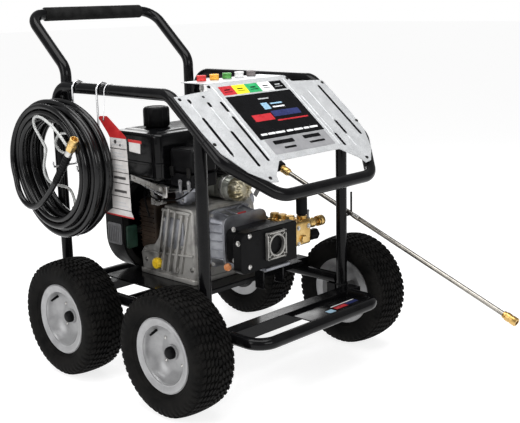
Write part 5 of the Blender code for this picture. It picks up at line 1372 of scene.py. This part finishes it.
def makeHead(s):
    # The manifold: a waisted casting with valve caps along its top, and the two ports with their fittings.
    left, right = 0.0755, 0.1495
    box = (left, right, -0.239, -0.127)
    body = roundedSlab(box, 0.01, 0.35, 0.4175, 0.006, alongZ)
    saddle = [lathe([(0, 0), (0.0165, 0), (0.016, 0.006), (0.0148, 0.009), (0, 0.009)], (0, 0, 1),
                    (s["valveX"], y, 0.411), 36) for y in s["valveY"]]
    hexes = [lathe([(0, 0.009), (0.0138, 0.009), (0.0138, 0.0195), (0.0122, 0.0215), (0, 0.0215)], (0, 0, 1),
                   (s["valveX"], y, 0.4115), 6) for y in s["valveY"]]
    sideHexes = [lathe([(0, 0), (0.012, 0), (0.012, 0.008), (0.0106, 0.0098), (0, 0.0098)], (0, -1, 0),
                       (0.112, -0.2375, z), 6) for z in (0.368,)]
    piece("pumpManifold", merged(body, *saddle), "forgedBrass", smooth=40)
    piece("valveCaps", merged(*hexes, *sideHexes), "forgedBrass", bevel=0.0006)
    yo, zo, zi = s["outletY"], s["outletZ"], s["inletZ"]
    tower = lathe([(0, -0.01), (0.018, -0.01), (0.018, 0.002), (0.016, 0.004), (0.016, 0.014),
                   (0.0142, 0.016), (0.0142, 0.019), (0.015, 0.02), (0.015, 0.024), (0, 0.024)],
                  (0, 0, 1), (0.135, yo, 0.405), 40)
    neck = lathe([(0, 0), (0.017, 0), (0.017, 0.006), (0.0135, 0.01), (0.0128, 0.03), (0.0142, 0.032),
                  (0.0142, 0.038), (0.0128, 0.04), (0.0104, 0.046), (0.0104, 0.08), (0.009, 0.083),
                  (0.0078, 0.083), (0.007, 0.06), (0, 0.06)], (1, 0, 0), (0.144, yo, zo), 40)
    port = lathe([(0, 0), (0.0165, 0), (0.0165, 0.005), (0.0135, 0.008), (0.012, 0.016), (0, 0.016)], (1, 0, 0),
                 (0.146, yo, zi), 36)
    bridge = roundedSlab((0.112, 0.152, yo - 0.018, yo + 0.018), 0.008, 0.35, 0.421, 0.005, alongZ)
    piece("unloaderBody", merged(tower, neck, port, bridge), "forgedBrass", replaces=("pump_head",),
          smooth=40)
    screws = [(0.094, -0.239, 0.402), (0.094, -0.239, 0.356), (0.136, -0.239, 0.402)]
    piece("manifoldBolts", many(hexBolt((0, -1, 0), 0.0046, 0.004), screws), "brightSteel")
    valve = merged(lathe([(0, 0), (0.0052, 0), (0.0052, 0.006), (0.0034, 0.008), (0.0034, 0.022), (0.0046, 0.023),
                          (0.0046, 0.028), (0, 0.028)], (0, 0, 1), (0.166, yo + 0.004, 0.411), 20),
                   lathe([(0, 0), (0.006, 0), (0.006, 0.004), (0, 0.004)], (0, 0, 1), (0.166, yo + 0.004, 0.411),
                         6))
    piece("thermalValve", valve, "leverGrey", smooth=40)
    grooves = lambda a: 1 + 0.018 * np.sign(np.sin(20 * a))
    knob = lathe([(0, 0.0004), (0.012, 0.0004), (0.015, 0.003), (0.0158, 0.008), (0.0158, 0.07),
                  (0.015, 0.0765), (0.012, 0.08), (0, 0.08)], (0, 0, 1), (0.135, yo, 0.43), 80,
                 wave=grooves)
    piece("unloaderKnobCover", knob, "mouldedBlack", "unloader_knob", ("unloader_knob",),
          smooth=40)
    ring = lathe([(0.0109, 0.0003), (0.014, 0.0003), (0.015, 0.0014), (0.015, 0.0075), (0.0138, 0.009),
                  (0.015, 0.0105), (0.015, 0.0225), (0.014, 0.0237), (0.0109, 0.0237)],
                 (1, 0, 0), (0.199, yo, zo), 96, closed=True, wave=lambda a: 1 + 0.008 * np.sin(32 * a))
    piece("quickCollar", ring, "forgedBrass", "outlet_collar", ("outlet_collar",), smooth=40)
    swivel = lathe([(0.0109, 0.0003), (0.015, 0.0003), (0.0158, 0.002), (0.0158, 0.026), (0.0165, 0.028),
                    (0.0165, 0.0325), (0.0158, 0.0337), (0.0122, 0.0337), (0.0109, 0.03)],
                   (1, 0, 0), (0.16, yo, zi), 96, closed=True,
                   wave=lambda a: 1 + 0.03 * np.tanh(3 * np.cos(6 * a)) - 0.03)
    piece("inletSwivelNut", swivel, "mouldedBlack", "inlet_swivel", ("inlet_swivel",), smooth=40)


makeBell(pumpSet)
makePump(pumpSet)
makeHead(pumpSet)
print("stage: pump")


gunSet = {"x": 0.3, "y": 0.01, "z": 0.5165, "tilt": math.radians(21.35), "length": 0.878, "r": 0.0068}


def gunPlace(a, b, c):
    # (along the gun, across it, sideways) as points; the lance leaves along minus a.
    s = gunSet
    k, n = math.cos(s["tilt"]), math.sin(s["tilt"])
    return s["x"] + c, s["y"] + a * k - b * n, s["z"] + a * n + b * k


def makeGun(s):
    # A side outline given thickness, with the guard, trigger, lance and collars on its axis.
    outline = [(0.0003, -0.0125), (0.0003, 0.0125), (0.02, 0.015), (0.1, 0.0158), (0.15, 0.0162),
               (0.188, 0.0192), (0.205, 0.02), (0.216, 0.016), (0.222, 0.008), (0.219, -0.02),
               (0.228, -0.052), (0.241, -0.09), (0.25, -0.122), (0.232, -0.129), (0.214, -0.132),
               (0.2, -0.089), (0.19, -0.055), (0.18, -0.024), (0.165, -0.0145), (0.06, -0.015),
               (0.02, -0.015)]
    piece("gunShell", extruded(outline, -0.0163, 0.0163, gunPlace), "mouldedBlack", "gun",
          ("gun_body",), bevel=0.0055, bevelSteps=4)
    way = -(np.array(gunPlace(1, 0, 0)) - gunPlace(0, 0, 0))
    guardPath = [gunPlace(a, b, 0) for a, b in ((0.098, -0.01), (0.1, -0.04), (0.118, -0.078), (0.15, -0.11),
                                                (0.19, -0.131), (0.222, -0.133))]
    piece("triggerGuard", sweep(smoothPath(guardPath, 40), 0.0036, 14), "mouldedBlack", "gun")
    ribs = [extruded([(a, -0.0135), (a + 0.0016, -0.0135), (a + 0.0016, 0.0135), (a, 0.0135)], -0.0172, 0.0172,
                     gunPlace) for a in np.arange(0.03, 0.08, 0.007)]
    piece("gunGripRibs", merged(*ribs), "mouldedBlack", "gun", bevel=0.0004)
    inlet = lathe([(0, -0.004), (0.01, -0.004), (0.01, 0.003), (0.0082, 0.005), (0.0082, 0.016), (0, 0.016)],
                  np.array(gunPlace(0.25, -1, 0)) - gunPlace(0, 0, 0), gunPlace(0.2315, -0.128, 0), 6)
    piece("gunInlet", inlet, "forgedBrass", "gun", bevel=0.0004)
    blade = [(0.129, -0.0165), (0.141, -0.0165), (0.1445, -0.03), (0.15, -0.05), (0.1555, -0.0765),
             (0.151, -0.08), (0.146, -0.079), (0.14, -0.06), (0.135, -0.043)]
    piece("triggerBlade", extruded(blade, -0.0058, 0.0058, gunPlace), "guardRed", "trigger",
          ("trigger",), bevel=0.0018, bevelSteps=3)
    start = np.array(gunPlace(0, 0, 0))
    length, r = s["length"], s["r"]
    tube = lathe([(0.0045, 0.001), (r, 0.001), (r, length - 0.0085), (r - 0.0006, length - 0.008),
                  (0.0045, length - 0.008)], way, start, 40, closed=True)
    piece("lancePipe", tube, "lanceSteel", "gun", ("lance_tube",))
    coupler = lathe([(r, -0.0001), (0.0112, -0.0001), (0.0118, 0.0012), (0.0118, 0.0085), (0.0104, 0.0095),
                     (0.0104, 0.012), (0.0118, 0.013), (0.0118, 0.027), (0.0108, 0.0285), (0.009, 0.03),
                     (0.0086, 0.035), (r, 0.036)], way, start, 96, closed=True,
                     wave=lambda a: 1 + 0.012 * np.sign(np.sin(24 * a)))
    piece("lanceCoupler", coupler, "forgedBrass", "gun", smooth=40)
    wrap = lathe([(r, 0.3), (r + 0.0008, 0.3004), (r + 0.0008, 0.322), (r, 0.3224)], way, start, 40)
    piece("lanceBand", wrap, "brightSteel", "gun")
    collar = [(r + 0.0004, length - 0.042), (0.0092, length - 0.042), (0.01, length - 0.041),
              (0.01, length - 0.0345), (0.0119, length - 0.0325), (0.0119, length - 0.0215),
              (0.0106, length - 0.0205), (0.0106, length - 0.018), (0.0119, length - 0.017),
              (0.0119, length - 0.002), (0.011, length - 0.0002), (r + 0.0004, length - 0.0002)]
    piece("tipCollarSleeve", lathe(collar, way, start, 96, closed=True, wave=lambda a: 1 + 0.006 * np.sin(28 * a)),
          "forgedBrass", "tip_collar", ("tip_collar",), smooth=40)


makeGun(gunSet)
print("stage: gun")


tagSet = {"x": -0.2926, "thick": 0.0006, "top": 0.6785, "low": 0.483, "rows": (0.649, 0.618, 0.585, 0.5556, 0.519)}


def makeTag(s):
    # A flat card on the hanger: outlines in the y z plane carried through its thickness.
    x, t = s["x"], s["thick"]

    def card(name, outline, finish, lift=0.0, thick=t):
        # An outline in y and z, carried outwards by the card thickness.
        piece(name, extruded(outline, x - lift - thick, x - lift, alongX), finish)

    def edges(z):
        # The card widens steadily downwards: left and right edges by the share of the way down.
        share = (s["top"] - z) / (s["top"] - s["low"])
        return 0.0894 + 0.004 * share, 0.019 - 0.0062 * share

    card("tagTop", [(0.134, 0.727), (0.128, 0.733), (0.097, 0.7345), (0.09, 0.731), (0.019, 0.684),
                    (0.019, s["top"]), (0.0894, s["top"]), (0.098, 0.69)], "tagRed")
    body = [(0.0894, s["top"] - 0.0001), (0.019, s["top"] - 0.0001), (edges(s["low"])[1], s["low"]),
            (0.005, 0.468), (0.12, 0.468), (edges(s["low"])[0], s["low"])]
    card("tagCardBody", body, "tagCard")
    card("tagHem", [(0.1225, 0.468), (0.1225, 0.464), (0.003, 0.464), (0.003, 0.468)], "tagRed")
    lines, words, bold = [], [], []
    for k, z in enumerate((*s["rows"], s["low"])):
        left, right = edges(z)
        lines.append(extruded([(left, z), (right, z), (right, z + 0.0022), (left, z + 0.0022)], x - t - 0.0003,
                              x - t, alongX))
        if k not in (3, 4):
            for n in range(2):
                words.append(extruded([(left - 0.01, z + 0.01 + 0.009 * n),
                                       (right + 0.012 + 0.01 * n, z + 0.01 + 0.009 * n),
                                       (right + 0.012 + 0.01 * n, z + 0.0125 + 0.009 * n),
                                       (left - 0.01, z + 0.0125 + 0.009 * n)], x - t - 0.0003, x - t, alongX))
        else:
            bold.append(extruded([(left - 0.012, z + 0.012), (right + 0.014, z + 0.012), (right + 0.014, z + 0.019),
                                  (left - 0.012, z + 0.019)], x - t - 0.0003, x - t, alongX))
    piece("tagLines", merged(*lines), "tagInk")
    piece("tagWords", merged(*words), "labelGrey")
    piece("tagBold", merged(*bold), "tagInk")
    dots = [lathe([(0, 0.0003), (r, 0.0003), (r, 0), (0, 0)], (-1, 0, 0), (x - t, y, z), 20) for y, z,
            r in ((0.066, 0.668, 0.0055), (0.046, 0.66, 0.0035))]
    piece("tagDots", merged(*dots), "tagInk")
    eye = lathe([(0.0022, 0), (0.0046, 0), (0.0046, 0.0006), (0.0022, 0.0006)], (-1, 0, 0), (x - t, 0.112, 0.724),
                28, closed=True)
    piece("tagEyelet", eye, "brightSteel")
    card("smallTagTop", [(0.01, 0.68), (-0.045, 0.679), (-0.045, 0.6715), (0.01, 0.6725)], "tagRed",
         0.001)
    card("smallTagBody", [(0.0065, 0.6722), (-0.04, 0.6715), (-0.0385, 0.645), (0.006, 0.648)], "tagCard",
         0.001)
    loop = [(x - 0.0005, 0.112, 0.724), (x - 0.0008, 0.1085, 0.745), (x + 0.0012, 0.105, 0.77),
            (-0.293, 0.103, 0.8), (-0.286, 0.102, 0.815), (-0.273, 0.102, 0.8188),
            (-0.26, 0.103, 0.814), (-0.255, 0.105, 0.8), (-0.259, 0.109, 0.786)]
    piece("tagString", sweep(smoothPath(loop, 48), 0.001, 10), "labelWhite")


makeTag(tagSet)
print("stage: tag")


nodeFinishes = {"front_axle": "powderBlack", "rear_axle": "powderBlack", "engine_plate": "powderBlack",
                "control_panel": "panelSilver", "piston": "smoothAluminium", "crankshaft": "brightSteel",
                "flywheel_fan": "castAluminium", "recoil_handle": "mouldedBlack", "engine_switch": "guardRed",
                "pump_shaft": "brightSteel"}


def dressNodes(looks):
    # The model's own solids that stay in view get their finish.
    for name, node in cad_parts.items():
        if node.hide_render:
            continue
        for place in node.material_slots:
            place.material = finishOf(looks[name])


dressNodes(nodeFinishes)


floorSet = {"size": 60.0, "glow": 0.8}


def makeFloor(s):
    # One pale square at z = 0, lit a little from itself so that it fades into the white.
    mesh = bpy.data.meshes.new("floor")
    h = s["size"] / 2
    mesh.from_pydata([(-h, -h, 0), (h, -h, 0), (h, h, 0), (-h, h, 0)], [], [(0, 1, 2, 3)])
    floor = bpy.data.objects.new("floor", mesh)
    material = bpy.data.materials.new("paleFloor")
    material.use_nodes = True
    shader = material.node_tree.nodes["Principled BSDF"]
    shader.inputs["Base Color"].default_value = (0.42, 0.42, 0.42, 1)
    shader.inputs["Emission Color"].default_value = (1, 1, 1, 1)
    shader.inputs["Emission Strength"].default_value = s["glow"]
    shader.inputs["Roughness"].default_value = 0.75
    mesh.materials.append(material)
    bpy.context.scene.collection.objects.link(floor)


makeFloor(floorSet)
print("stage: done")
